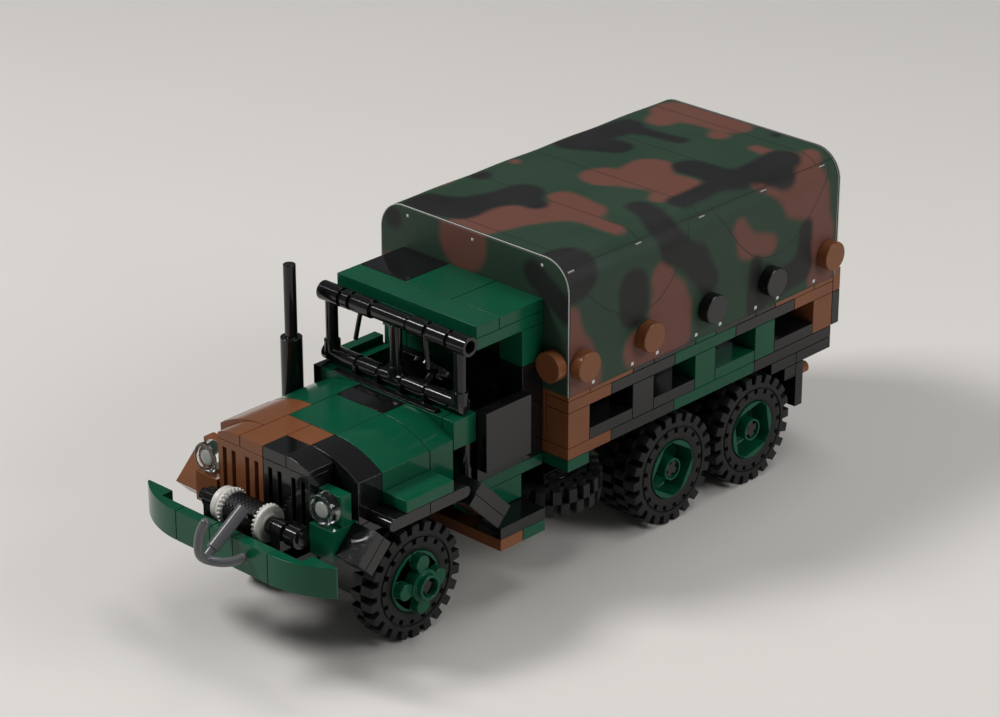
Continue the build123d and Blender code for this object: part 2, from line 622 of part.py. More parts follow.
REAR_FLAP = (stud_y(-4.0) - 0.6, 14.0, 1)
FRONT_FLAP = (stud_y(-8.0) + 0.6, 9.0, -1)
with BuildPart() as fender_flaps:
    for side in (1, -1):
        add(flap(side, *REAR_FLAP))
    add(flap(1, *FRONT_FLAP))
save(fender_flaps, "fender_flaps")
with BuildPart() as fender_flap_brown:
    add(flap(-1, *FRONT_FLAP))
save(fender_flap_brown, "fender_flap_brown")

# Exhaust stack on the right fender
EXHAUST_X = -3.5 * STUD
EXHAUST_Y = stud_y(-4.5)
STACK_RADIUS = 2.8
STACK_TOP = 58.8
PIPE_TOP = 78.2
with BuildPart() as exhaust:
    rod_z(EXHAUST_X, EXHAUST_Y, plate_z(9), STACK_TOP, STACK_RADIUS)
    rod_z(EXHAUST_X, EXHAUST_Y, STACK_TOP, PIPE_TOP, BAR_RADIUS)
save(exhaust, "exhaust")

# Doors: tiles on edge, each on a bracket inside
DOOR_LOW = 35.4
DOOR_SIZE = 2 * STUD
BRACKET_DROP = 2.0
for side_name, side in (("left", 1), ("right", -1)):
    with BuildPart() as door:
        with Locations((side * (3 * STUD + PLATE / 2), stud_y(-2), DOOR_LOW + DOOR_SIZE / 2)):
            Box(PLATE - REVEAL, DOOR_SIZE - 2 * REVEAL, DOOR_SIZE)
        bracket_top = DOOR_LOW + DOOR_SIZE - BRACKET_DROP
        with Locations((side * (3 * STUD - PLATE / 2), stud_y(-2), (plate_z(7) + bracket_top) / 2)):
            Box(PLATE + REVEAL, DOOR_SIZE - 2 * REVEAL, bracket_top - plate_z(7))
    save(door, f"door_{side_name}")

# Steering wheel on a sloping column that ends at the cowl
WHEEL_X = 5.3
WHEEL_Y = at_y(-20.0)
WHEEL_Z = 54.3
WHEEL_RADIUS = 5.6
WHEEL_RIM = 1.3
SPOKE_WIDTH = 1.2
COLUMN_RADIUS = 1.0
COLUMN_END_Y = stud_y(-3) + 0.4
wheel_plane = Plane(origin=(WHEEL_X, WHEEL_Y, WHEEL_Z), x_dir=(1, 0, 0), z_dir=(0, 1, 1))
with BuildPart() as steering_wheel:
    with BuildSketch(wheel_plane):
        Circle(WHEEL_RADIUS)
        Circle(WHEEL_RADIUS - WHEEL_RIM, mode=Mode.SUBTRACT)
        for turn in (0, 90):
            Rectangle(2 * WHEEL_RADIUS - WHEEL_RIM, SPOKE_WIDTH, rotation=turn)
    extrude(amount=SPOKE_WIDTH)
    with BuildSketch(wheel_plane):
        Circle(COLUMN_RADIUS)
    extrude(amount=-(WHEEL_Y - COLUMN_END_Y) / cos(radians(45)))
save(steering_wheel, "steering_wheel")

# Windscreen frame: two bars of sleeves, three uprights and two wipers, folding about the lower bar
SCREEN_Y = at_y(-27.4)
SCREEN_LOW_Z = 53.4
SCREEN_TOP_Z = 69.5
SCREEN_LOW_ENDS = (-24.4, 23.2)
SCREEN_TOP_HALF = 25.2
SLEEVE_RADIUS = 2.1
TOP_SLEEVE_RADII = [2.5, 2.4, 2.4, 2.0, 2.4, 2.4, 2.5]
SEAM_RADIUS = 1.65
SEAM_WIDTH = 1.1
TOP_SEAMS = [-17.8, -14.4, -7.0, 5.3, 11.7, 19.0]
CLIPS = [-12.2, -4.6, 3.5, 11.5]
CLIP_WIDTH = 1.3
CLIP_RADIUS = 2.7
CLIP_SIDE_GAP = 0.15
TUBE_BORE = 1.6
TUBE_DEPTH = 4.0
UPRIGHTS = [-22.4, 0.0, 21.7]
SOCKET_HEIGHT = 3.6
WIPER_RADIUS = 0.6
WIPERS = [(-10.2, -12.4, 60.6), (11.7, 12.6, 60.4)]


def sleeved_bar(ends, z, radii, seams, seam_width):
    """A round bar along x, its sleeves parted by a groove at each seam."""
    rod_x(*ends, SCREEN_Y, z, SEAM_RADIUS)
    starts = [ends[0], *[seam_x + seam_width / 2 for seam_x in seams]]
    stops = [*[seam_x - seam_width / 2 for seam_x in seams], ends[1]]
    for start, stop, radius in zip(starts, stops, radii):
        rod_x(start, stop, SCREEN_Y, z, radius)


with BuildPart() as windscreen_frame:
    sleeved_bar(
        (-SCREEN_TOP_HALF, SCREEN_TOP_HALF), SCREEN_TOP_Z, TOP_SLEEVE_RADII, TOP_SEAMS, SEAM_WIDTH
    )
    for side in (1, -1):
        tube_end = side * SCREEN_TOP_HALF
        rod_x(tube_end - side * TUBE_DEPTH, tube_end, SCREEN_Y, SCREEN_TOP_Z, TUBE_BORE, Mode.SUBTRACT)
    low_radii = [SLEEVE_RADIUS] * (len(CLIPS) + 1)
    sleeved_bar(SCREEN_LOW_ENDS, SCREEN_LOW_Z, low_radii, CLIPS, CLIP_WIDTH + 2 * CLIP_SIDE_GAP)
    for x in UPRIGHTS:
        rod_z(x, SCREEN_Y, SCREEN_LOW_Z, SCREEN_TOP_Z - TUBE_BORE, BAR_RADIUS)
        rod_z(x, SCREEN_Y, SCREEN_LOW_Z, SCREEN_LOW_Z + SOCKET_HEIGHT, SLEEVE_RADIUS)
    for top_x, low_x, low_z in WIPERS:
        top = Vector(top_x, SCREEN_Y - TUBE_BORE, SCREEN_TOP_Z)
        blade = Vector(low_x, SCREEN_Y - TUBE_BORE, low_z) - top
        with BuildSketch(Plane(top, z_dir=blade)):
            Circle(WIPER_RADIUS)
        extrude(amount=blade.length)
save(windscreen_frame, "windscreen_frame")

# Clips that hold the lower bar from below in its grooves, on a strip along the cowl's top
STRIP_ENDS = (-18.0, 17.4)
STRIP_FRONT = -31.9
STRIP_BACK = -29.6
STRIP_HEIGHT = 0.55
CLIP_TOP = 0.3
with BuildPart() as windscreen_clips:
    strip_low = plate_z(13)
    with Locations((sum(STRIP_ENDS) / 2, at_y((STRIP_FRONT + STRIP_BACK) / 2), strip_low + STRIP_HEIGHT / 2)):
        Box(STRIP_ENDS[1] - STRIP_ENDS[0], STRIP_BACK - STRIP_FRONT, STRIP_HEIGHT)
    clip_top = SCREEN_LOW_Z + CLIP_TOP
    for x in CLIPS:
        with Locations((x, SCREEN_Y, (strip_low + clip_top) / 2)):
            Box(CLIP_WIDTH, 2 * CLIP_RADIUS, clip_top - strip_low)
    rod_x(*SCREEN_LOW_ENDS, SCREEN_Y, SCREEN_LOW_Z, SEAM_RADIUS + PIN_CLEARANCE, Mode.SUBTRACT)
save(windscreen_clips, "windscreen_clips")

# Tarpaulin: one sheet with rounded shoulders, closed at the front, open at the back and below


def tarp_block(inset, front, back, bottom):
    """The tarpaulin's outline, shrunk by inset, run from front to back."""
    with BuildSketch(Plane.XZ.offset(-at_y(front))) as outline:
        with Locations((0, (bottom + TARP_TOP - inset) / 2)):
            Rectangle(2 * (TARP_HALF_WIDTH - inset), TARP_TOP - inset - bottom)
        fillet(outline.vertices().group_by(Axis.Y)[-1], TARP_CORNER - inset)
    return extrude(outline.sketch, front - back, mode=Mode.PRIVATE)


TARP_BACK = BED_LENGTH * STUD
with BuildPart() as tarp:
    add(tarp_block(0, TARP_FRONT, TARP_BACK, TARP_BOTTOM))
    add(
        tarp_block(TARP_THICKNESS, TARP_FRONT + TARP_THICKNESS, TARP_BACK + 1, TARP_BOTTOM - 1),
        mode=Mode.SUBTRACT,
    )
save(tarp, "tarp")

# Discs that pin the tarpaulin, along both sides and on its front corners
DISC_Z = 57.0
FRONT_DISC_X = 3.5 * STUD
for colour in ("brown", "black"):
    with BuildPart() as discs:
        for disc_y, disc_colour in DISC_ROWS:
            if disc_colour == colour:
                for side in (1, -1):
                    rod_x(
                        side * (TARP_HALF_WIDTH + REVEAL / 2), side * (TARP_HALF_WIDTH + PLATE),
                        stud_y(disc_y), DISC_Z, DISC_RADIUS,
                    )
        if colour == "brown":
            for side in (1, -1):
                rod_y(
                    side * FRONT_DISC_X, at_y(TARP_FRONT - PLATE), at_y(TARP_FRONT - REVEAL / 2),
                    DISC_Z, DISC_RADIUS,
                )
    save(discs, f"discs_{colour}")

# Tail lights behind the mudflaps, and the tow plate
TAIL_LIGHT_X = 3.72 * STUD
TAIL_LIGHT_Z = plate_z(4.9)
TAIL_LIGHT_RADIUS = 1.6
with BuildPart() as tail_lights:
    for side in (1, -1):
        light_front = stud_y(FLAP_BACK)
        rod_y(side * TAIL_LIGHT_X, light_front, light_front + PLATE, TAIL_LIGHT_Z, TAIL_LIGHT_RADIUS)
save(tail_lights, "tail_lights")
TOW_HOLE_Y = 12.9
TOW_END = 13.4
with BuildPart() as tow_plate:
    lay([(-1, 1, 11, TOW_END, 3, 4)])
    rod_z(0, stud_y(TOW_HOLE_Y), plate_z(3), plate_z(4), PIN_RADIUS, Mode.SUBTRACT)
save(tow_plate, "tow_plate")
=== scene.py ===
import json
import logging
import math
from dataclasses import dataclass
from enum import Enum
from functools import reduce
from itertools import product
from typing import ClassVar, Optional, Protocol, Sequence, Union

import bmesh
import bpy
import numpy as np
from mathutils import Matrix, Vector


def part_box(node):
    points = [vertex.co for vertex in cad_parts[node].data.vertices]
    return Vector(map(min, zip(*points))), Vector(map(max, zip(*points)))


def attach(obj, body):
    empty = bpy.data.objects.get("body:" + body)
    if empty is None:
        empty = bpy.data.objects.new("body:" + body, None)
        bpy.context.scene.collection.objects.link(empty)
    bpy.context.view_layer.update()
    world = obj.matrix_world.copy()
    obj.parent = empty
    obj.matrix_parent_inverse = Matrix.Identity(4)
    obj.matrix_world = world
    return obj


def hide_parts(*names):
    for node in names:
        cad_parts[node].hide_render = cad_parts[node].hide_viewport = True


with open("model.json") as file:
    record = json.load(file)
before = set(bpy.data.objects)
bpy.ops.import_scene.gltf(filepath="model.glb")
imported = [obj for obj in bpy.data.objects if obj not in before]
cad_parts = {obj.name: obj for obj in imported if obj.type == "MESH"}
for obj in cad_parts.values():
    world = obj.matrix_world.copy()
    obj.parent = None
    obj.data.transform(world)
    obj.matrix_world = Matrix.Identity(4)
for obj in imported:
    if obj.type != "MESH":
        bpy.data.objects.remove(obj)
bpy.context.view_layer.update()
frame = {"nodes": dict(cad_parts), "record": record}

# Looks of the brick-built toy truck. Shapes are worked out in millimetres and stored in metres.
MM = 0.001
SHARP_ANGLE = math.radians(32.0)
# The truck's sides and the way each faces along x
SIDES = (("left", 1), ("right", -1))
log = logging.getLogger("toy_truck")

Pair = tuple[float, float]
Triple = tuple[float, float, float]
Colour = Triple
Value = Union["Wire", float]
Shell = tuple[np.ndarray, np.ndarray]


class Slot(Enum):
    """The record's names for the toy's finishes."""

    GREEN = "plastic_green"
    BROWN = "plastic_brown"
    BLACK = "plastic_black"
    GREY = "plastic_grey"
    TAN = "plastic_tan"
    RUBBER = "rubber_black"
    LENS = "clear_lens"
    CLOTH = "tarp_cloth"


class Wire:
    """A node's output that can be used in arithmetic: each operation adds a Math node."""

    def __init__(self, graph: "Graph", socket: bpy.types.NodeSocket) -> None:
        """Keeps the graph and the socket."""
        self.graph = graph
        self.socket = socket

    def math(self, operation: str, *others: Value) -> "Wire":
        """One Math node with this wire as its first value."""
        values = dict(enumerate((self, *others)))
        return self.graph.node("ShaderNodeMath", {"operation": operation}, values)

    def __add__(self, other: Value) -> "Wire":
        """The sum."""
        return self.math("ADD", other)

    __radd__ = __add__

    def __mul__(self, other: Value) -> "Wire":
        """The product."""
        return self.math("MULTIPLY", other)

    __rmul__ = __mul__

    def __sub__(self, other: Value) -> "Wire":
        """The difference."""
        return self.math("SUBTRACT", other)

    def __rsub__(self, other: Value) -> "Wire":
        """A number less this wire."""
        return self.math("MULTIPLY", -1.0) + other

    def __truediv__(self, other: Value) -> "Wire":
        """The quotient."""
        return self.math("DIVIDE", other)

    def __pow__(self, power: Value) -> "Wire":
        """The power."""
        return self.math("POWER", power)

    def __abs__(self) -> "Wire":
        """The size without its sign."""
        return self.math("ABSOLUTE")

    def sine(self) -> "Wire":
        """The sine of an angle in radians."""
        return self.math("SINE")

    def high(self, other: Value) -> "Wire":
        """The larger of two values."""
        return self.math("MAXIMUM", other)

    def ramp(self, start: float, stop: float) -> "Wire":
        """A smooth step from 0 at start to 1 at stop; start may be the larger."""
        limits = {"Value": self, "From Min": start, "From Max": stop}
        return self.graph.node("ShaderNodeMapRange", {"interpolation_type": "SMOOTHSTEP"}, limits)


class Graph:
    """A material whose nodes are added one by one."""

    def __init__(self, name: str) -> None:
        """Makes an empty material.

        Args:
            name: the material's name.
        """
        self.material = bpy.data.materials.new(name)
        self.material.use_nodes = True
        self.tree = self.material.node_tree
        self.tree.nodes.clear()

    def node(
        self,
        kind: str,
        settings: Optional[dict[str, object]] = None,
        inputs: Optional[dict[Union[str, int], object]] = None,
        output: Union[str, int] = 0,
    ) -> Optional[Wire]:
        """Adds a node.

        Args:
            kind: Blender's type of the node.
            settings: the node's own properties, set first.
            inputs: values or wires by socket name or number.
            output: the output that is returned.

        Returns:
            The chosen output, or None where the node has none.
        """
        made = self.tree.nodes.new(kind)
        for name, value in (settings or {}).items():
            setattr(made, name, value)
        for key, value in (inputs or {}).items():
            if isinstance(value, Wire):
                self.tree.links.new(value.socket, made.inputs[key])
            else:
                made.inputs[key].default_value = value
        return Wire(self, made.outputs[output]) if made.outputs else None

    def attribute(self, name: str) -> Wire:
        """A number that the mesh carries at its points."""
        return self.node("ShaderNodeAttribute", {"attribute_name": name}, output="Fac")

    def noise(self, scale: float, detail: float = 2.0, stretch: Optional[Triple] = None) -> Wire:
        """Noise over the object's own coordinates.

        Args:
            scale: cells to a metre.
            detail: octaves of finer noise.
            stretch: factors along x, y and z that draw the cells out.

        Returns:
            The noise, about 0.5 in the mean.
        """
        place = self.node("ShaderNodeTexCoord", output="Object")
        if stretch:
            place = self.node("ShaderNodeMapping", None, {"Vector": place, "Scale": stretch})
        inputs = {"Vector": place, "Scale": scale, "Detail": detail}
        return self.node("ShaderNodeTexNoise", None, inputs, "Fac")

    def mix(self, share: Value, first: Union[Wire, Colour], second: Union[Wire, Colour]) -> Wire:
        """A colour between two others, the first at share 0."""
        ends = [end if isinstance(end, Wire) else (*end, 1.0) for end in (first, second)]
        return self.node("ShaderNodeMix", {"data_type": "RGBA"}, {0: share, 6: ends[0], 7: ends[1]}, 2)

    def bump(self, height: Wire, strength: float, depth: float, under: Optional[Wire] = None) -> Wire:
        """A normal tilted by a height times a depth in metres, over another normal if one is given."""
        inputs = {"Height": height, "Strength": strength, "Distance": depth}
        return self.node("ShaderNodeBump", None, {**inputs, "Normal": under} if under else inputs)

    def surface(self, sockets: dict[str, object]) -> bpy.types.Material:
        """Closes the graph with one Principled shader.

        Args:
            sockets: values or wires by the shader's socket names.

        Returns:
            The finished material.
        """
        shader = self.node("ShaderNodeBsdfPrincipled", None, sockets)
        self.node("ShaderNodeOutputMaterial", None, {"Surface": shader})
        return self.material


class Finish(Protocol):
    """Anything that can make a material."""

    def material(self) -> bpy.types.Material:
        """The finish as a Blender material."""


def tinted(colour: Colour, factor: float) -> Colour:
    """A colour made lighter or darker by a factor."""
    return tuple(min(1.0, part * factor) for part in colour)


@dataclass(frozen=True)
class MouldedPlastic:
    """Injection-moulded brick plastic: even colour, smooth gloss, fine grain and hairline scuffs."""

    name: str
    colour: Colour
    roughness: float = 0.17
    specular: float = 0.22
    drift: float = 0.08
    scuff: float = 0.035
    flow_scale: float = 38.0
    grain_scale: float = 2600.0
    hair_stretch: Triple = (300.0, 4200.0, 900.0)
    hair_limits: Pair = (0.66, 0.78)
    # What grain and scuffs add to the roughness, and the grain's mean taken off again
    dulling: Triple = (0.08, 0.10, -0.04)
    # Strength and depth of the bumps of flow and grain
    flow_relief: Pair = (0.2, 0.0004)
    grain_relief: Pair = (0.2, 0.000008)

    def material(self) -> bpy.types.Material:
        """The plastic as a Blender material."""
        graph = Graph(self.name)
        flow, grain = graph.noise(self.flow_scale, 3.0), graph.noise(self.grain_scale)
        hair = graph.noise(1.0, 1.0, self.hair_stretch).ramp(*self.hair_limits)
        dark, light = (tinted(self.colour, 1 + drift) for drift in (-self.drift, self.drift))
        base = graph.mix(flow.ramp(0.3, 0.7), dark, light)
        base = graph.mix(hair * self.scuff, base, tuple(0.5 * part + 0.12 for part in self.colour))
        normal = graph.bump(flow, *self.flow_relief)
        by_grain, by_hair, offset = self.dulling
        return graph.surface({
            "Base Color": base,
            "Roughness": self.roughness + grain * by_grain + hair * by_hair + offset,
            "Normal": graph.bump(grain, *self.grain_relief, normal),
            "IOR": 1.52,
            "Specular IOR Level": self.specular,
        })


@dataclass(frozen=True)
class MottledSurface:
    """A surface whose colour varies with a soft mottle, and its gloss and relief with a fine grain."""

    name: str
    colour: Colour
    # Scale and detail of both noises, and the factors on the darkest and the lightest colour
    mottle: Pair
    grain: Pair
    shades: Pair
    # Roughness without mottle and grain, and what each of them adds to it
    roughness: Triple
    # Strength and depth of the grain's bumps
    relief: Pair
    contrast: Optional[Pair] = None
    further: tuple[tuple[str, float], ...] = ()

    def material(self) -> bpy.types.Material:
        """The surface as a Blender material."""
        graph = Graph(self.name)
        mottle, grain = graph.noise(*self.mottle), graph.noise(*self.grain)
        if self.contrast:
            mottle = mottle.ramp(*self.contrast)
        smooth, by_mottle, by_grain = self.roughness
        return graph.surface({
            "Base Color": graph.mix(mottle, *(tinted(self.colour, shade) for shade in self.shades)),
            "Roughness": mottle * by_mottle + grain * by_grain + smooth,
            "Normal": graph.bump(grain, *self.relief),
            **dict(self.further),
        })


def card(name: str, colour: Colour) -> MottledSurface:
    """The sheet's raw edge, its printed marks, and the dark card of its painted shade and shadows: card with
    a fine fibre.
    """
    fibre = (2200.0, 3.0)
    return MottledSurface(name, colour, fibre, fibre, (0.85, 1.0), (0.45, 0.0, 0.2), (0.3, 0.00002))


@dataclass(frozen=True)
class FrostedCore:
    """The pale moulded disc behind a lens, with rings about its own middle carried as an attribute."""

    name: str
    colour: Colour
    ring_turn: float = 11.0
    cloud_scale: float = 700.0

    def material(self) -> bpy.types.Material:
        """The disc as a Blender material."""
        graph = Graph(self.name)
        rings = (graph.attribute("from_middle") * self.ring_turn).sine() * 0.5 + 0.5
        cloud = graph.noise(self.cloud_scale)
        return graph.surface({
            "Base Color": graph.mix(rings * 0.7 + cloud * 0.2, tinted(self.colour, 0.6), self.colour),
            "Roughness": cloud * 0.1 + 0.18,
            "Normal": graph.bump(rings, 0.5, 0.00006),
            "Transmission Weight": 0.5,
        })


@dataclass(frozen=True)
class CamouflageCloth:
    """Printed sheet in three colours with soft edges, a weave, and drawn seams on the wrap.

    The mesh carries, in millimetres, the place along and round the sheet and the distance to the
    nearest brown and black patch.
    """

    name: str
    green: Colour = (0.017, 0.043, 0.025)
    brown: Colour = (0.135, 0.050, 0.036)
    black: Colour = (0.009, 0.009, 0.009)
    # On the cloth this is only the ink of the drawn seams and the edge line
    ink_and_painted_shade: Colour = (0.010, 0.013, 0.011)
    white: Colour = (0.46, 0.46, 0.44)
    haze: Colour = (0.14, 0.15, 0.13)
    softness: float = 1.25
    weave: float = 0.55
    # Cells to a metre of the noises for ragged edges, fading and slack
    ragged_scale: float = 260.0
    fade_scale: float = 45.0
    slack_scale: float = 28.0
    # Strength and depth of the bumps of weave and seams, and of the cloth's slack
    weave_relief: Pair = (0.35, 0.00005)
    slack_relief: Pair = (0.25, 0.0006)
    seam_half: float = 0.19
    seam_shade: float = 0.55
    length: float = 0.0
    margin: float = 0.0
    # Where the ink line and the white margin begin and are full, from the margin's inner edge
    ink_edge: Pair = (-0.36, -0.28)
    white_edge: Pair = (-0.04, 0.04)
    cross_seams: tuple[float, ...] = ()
    long_seams: tuple[float, ...] = ()
    # Hanging lines as middle, lowest place, and bend to both sides, and where they fade out upwards
    swags: tuple[tuple[float, float, float, float], ...] = ()
    swag_fade: Pair = (34.0, 31.0)

    def line(self, distance: Wire) -> Wire:
        """A thin drawn line where the distance is small."""
        return abs(distance).ramp(self.seam_half * 1.7, self.seam_half * 0.6)

    def seams(self, along: Wire, around: Wire) -> Wire:
        """All drawn lines of the wrap.

        Args:
            along: place along the truck from the sheet's front edge.
            around: place round the wrap from its near lower edge.

        Returns:
            Their joint mask.
        """
        first, last = self.long_seams
        top = around.ramp(first - 0.1, first + 0.1) * around.ramp(last + 0.1, last - 0.1)
        marks = [self.line(along - place) * top for place in self.cross_seams]
        marks += [self.line(around - place) for place in self.long_seams]
        for middle, low, left_bend, right_bend in self.swags:
            offset = along - middle
            right = offset.ramp(-0.01, 0.01)
            bend = right * (right_bend - left_bend) + left_bend
            rise = around - low - offset * offset * bend
            steep = (offset * bend * 2.0) ** 2.0 + 1.0
            marks.append(self.line(rise / steep ** 0.5) * around.ramp(*self.swag_fade))
        return reduce(Wire.high, marks)

    def material(self) -> bpy.types.Material:
        """The sheet as a Blender material."""
        graph = Graph(self.name)
        along, around = graph.attribute("along"), graph.attribute("around")
        ragged = graph.noise(self.ragged_scale, 3.0) * 0.8 - 0.4
        turn = 2.0 * math.pi / self.weave
        weave = (along * turn).sine() * (around * turn).sine() * 0.5 + 0.5
        fade = graph.noise(self.fade_scale, 3.0).ramp(0.25, 0.75)
        base = self.green
        for patch, colour in (("to_brown", self.brown), ("to_black", self.black)):
            share = (graph.attribute(patch) + ragged).ramp(self.softness, -self.softness)
            base = graph.mix(share, base, colour)
        base = graph.mix(fade * 0.05 + weave * 0.03, base, self.haze)
        height = weave * 0.3
        if self.long_seams:
            seams = self.seams(along, around)
            base = graph.mix(seams * self.seam_shade, base, self.ink_and_painted_shade)
            height = height - seams * 0.8
        if self.margin:
            past = abs(along - self.length / 2) - (self.length / 2 - self.margin)
            base = graph.mix(past.ramp(*self.ink_edge), base, self.ink_and_painted_shade)
            base = graph.mix(past.ramp(*self.white_edge), base, self.white)
        normal = graph.bump(graph.noise(self.slack_scale), *self.slack_relief)
        return graph.surface({
            "Base Color": base,
            "Roughness": fade * 0.10 + weave * 0.08 + 0.42,
            "Normal": graph.bump(height, *self.weave_relief, normal),
            "Specular IOR Level": 0.22,
        })


FINISHES: dict[Slot, Finish] = {
    Slot.GREEN: MouldedPlastic("moulded_green", (0.003, 0.072, 0.034)),
    Slot.BROWN: MouldedPlastic("moulded_brown", (0.185, 0.066, 0.026)),
    Slot.BLACK: MouldedPlastic("moulded_black", (0.006, 0.006, 0.0065), roughness=0.10, specular=0.42),
    Slot.GREY: MouldedPlastic("moulded_grey", (0.095, 0.095, 0.102), roughness=0.22, specular=0.4),
    Slot.TAN: MouldedPlastic("moulded_tan", (0.66, 0.64, 0.59), roughness=0.34),
    Slot.RUBBER: MottledSurface(
        "tyre_rubber", (0.010, 0.010, 0.0102), mottle=(160.0, 4.0), grain=(3400.0, 3.0), shades=(0.75, 1.35),
        roughness=(0.50, 0.12, 0.06), relief=(0.35, 0.00002), contrast=(0.35, 0.75),
        further=(("Specular IOR Level", 0.30),),
    ),
    Slot.LENS: MottledSurface(
        "clear_lens", (0.86, 0.89, 0.86), mottle=(420.0, 2.0), grain=(420.0, 2.0), shades=(0.92, 1.0),
        roughness=(0.02, 0.0, 0.06), relief=(0.15, 0.00006),
        further=(("Transmission Weight", 1.0), ("IOR", 1.49)),
    ),
}


def grid_faces(rows: int, columns: int, round_rows: bool = False, round_columns: bool = False) -> np.ndarray:
    """Four corners for each cell of a grid of points stored row by row.

    Args:
        rows: number of rows of points.
        columns: number of points in a row.
        round_rows: whether the last row joins the first.
        round_columns: whether each row's last point joins its first.

    Returns:
        One line of four point numbers to a cell.
    """
    row = np.arange(rows if round_rows else rows - 1)
    column = np.arange(columns if round_columns else columns - 1)
    i, j = np.meshgrid(row, column, indexing="ij")
    next_i, next_j = (i + 1) % rows, (j + 1) % columns
    corners = [i * columns + j, next_i * columns + j, next_i * columns + next_j, i * columns + next_j]
    return np.stack(corners, axis=-1).reshape(-1, 4)


@dataclass
class Piece:
    """A mesh ready to become an object: points in millimetres, faces by point number.

    The class keeps the finishes' materials and the CAD nodes that pieces stand for.
    """

    name: str
    points: np.ndarray
    faces: np.ndarray
    slot: Slot
    body: str = "chassis"
    stands_for: str = ""
    closed: bool = True
    palette: ClassVar[dict[Slot, bpy.types.Material]] = {}
    done: ClassVar[set[str]] = set()

    def make(self, *materials: bpy.types.Material) -> bpy.types.Object:
        """Adds the object, shaded smooth between sharp edges, riding on its body.

        Args:
            materials: the object's material slots in order, or none for its finish alone.

        Returns:
            The new object.
        """
        mesh = bpy.data.meshes.new(self.name)
        mesh.from_pydata((self.points.reshape(-1, 3) * MM).tolist(), [], self.faces.tolist())
        if self.closed:
            edit = bmesh.new()
            edit.from_mesh(mesh)
            bmesh.ops.recalc_face_normals(edit, faces=edit.faces)
            edit.to_mesh(mesh)
            edit.free()
        mesh.shade_smooth()
        mesh.set_sharp_from_angle(angle=SHARP_ANGLE)
        for material in materials or (self.palette[self.slot],):
            mesh.materials.append(material)
        made = bpy.data.objects.new(self.name, mesh)
        bpy.context.scene.collection.objects.link(made)
        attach(made, self.body)
        if self.stands_for:
            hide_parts(self.stands_for)
            self.done.add(self.stands_for)
        log.info("%s: %d faces on %s", self.name, len(mesh.polygons), self.body)
        return made


def carry(made: bpy.types.Object, **numbers: np.ndarray) -> None:
    """Stores numbers at an object's points for its material to read.

    Args:
        made: the object.
        numbers: one array to an attribute, a number to a point.
    """
    for name, values in numbers.items():
        attribute = made.data.attributes.new(name, "FLOAT", "POINT")
        attribute.data.foreach_set("value", np.ascontiguousarray(values, np.float32).ravel())


def joined(parts: Sequence[Shell]) -> Shell:
    """Several shells as one list of points and one of faces.

    Args:
        parts: points and faces of each shell.

    Returns:
        All points, and all faces with their numbers moved on.
    """
    points = [part[0].reshape(-1, 3) for part in parts]
    starts = np.cumsum([0] + [len(block) for block in points[:-1]])
    return np.concatenate(points), np.concatenate([part[1] + start for part, start in zip(parts, starts)])


def node_box(node: str) -> tuple[np.ndarray, np.ndarray]:
    """A CAD node's lowest and highest corner in millimetres."""
    low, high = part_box(node)
    return np.array(low) / MM, np.array(high) / MM


def outer_face(node: str, side: int) -> np.ndarray:
    """The middle of a node's face on the truck's left (side 1) or right (side -1), in millimetres."""
    low, high = node_box(node)
    return np.array([high[0] if side > 0 else low[0], *((low + high) / 2)[1:]])


def circle(count: int) -> np.ndarray:
    """Evenly spaced angles round a circle, as a column."""
    return np.linspace(0, 2 * np.pi, count, endpoint=False)[:, None]


def turned(
    along: np.ndarray, radius: np.ndarray, angle: np.ndarray, middle: np.ndarray,
    axis: int = 0, ring: bool = True,
) -> Shell:
    """A section turned round an axis: the place along it, radius times cosine and sine of the angle across.

    Args:
        along: places along the axis.
        radius: distances from the axis.
        angle: angles round it in radians.
        middle: x, y and z of the place that along counts from.
        axis: number of the axis.
        ring: whether the section's end joins its start.

    Returns:
        Points and faces.
    """
    parts = [radius * np.cos(angle), radius * np.sin(angle)]
    parts.insert(axis, along)
    points = np.stack(np.broadcast_arrays(*parts), axis=-1) + middle
    return points, grid_faces(*points.shape[:2], round_rows=True, round_columns=ring)


def blocks(angle: np.ndarray, count: int, share: float, flank: float, turn: float = 0.0) -> np.ndarray:
    """1 on each of count blocks round a circle, 0 between; share and flank are parts of their pitch."""
    apart = np.abs(((angle - turn) * count / (2 * np.pi) + 0.5) % 1 - 0.5)
    return np.clip((share / 2 + flank / 2 - apart) / flank, 0, 1)


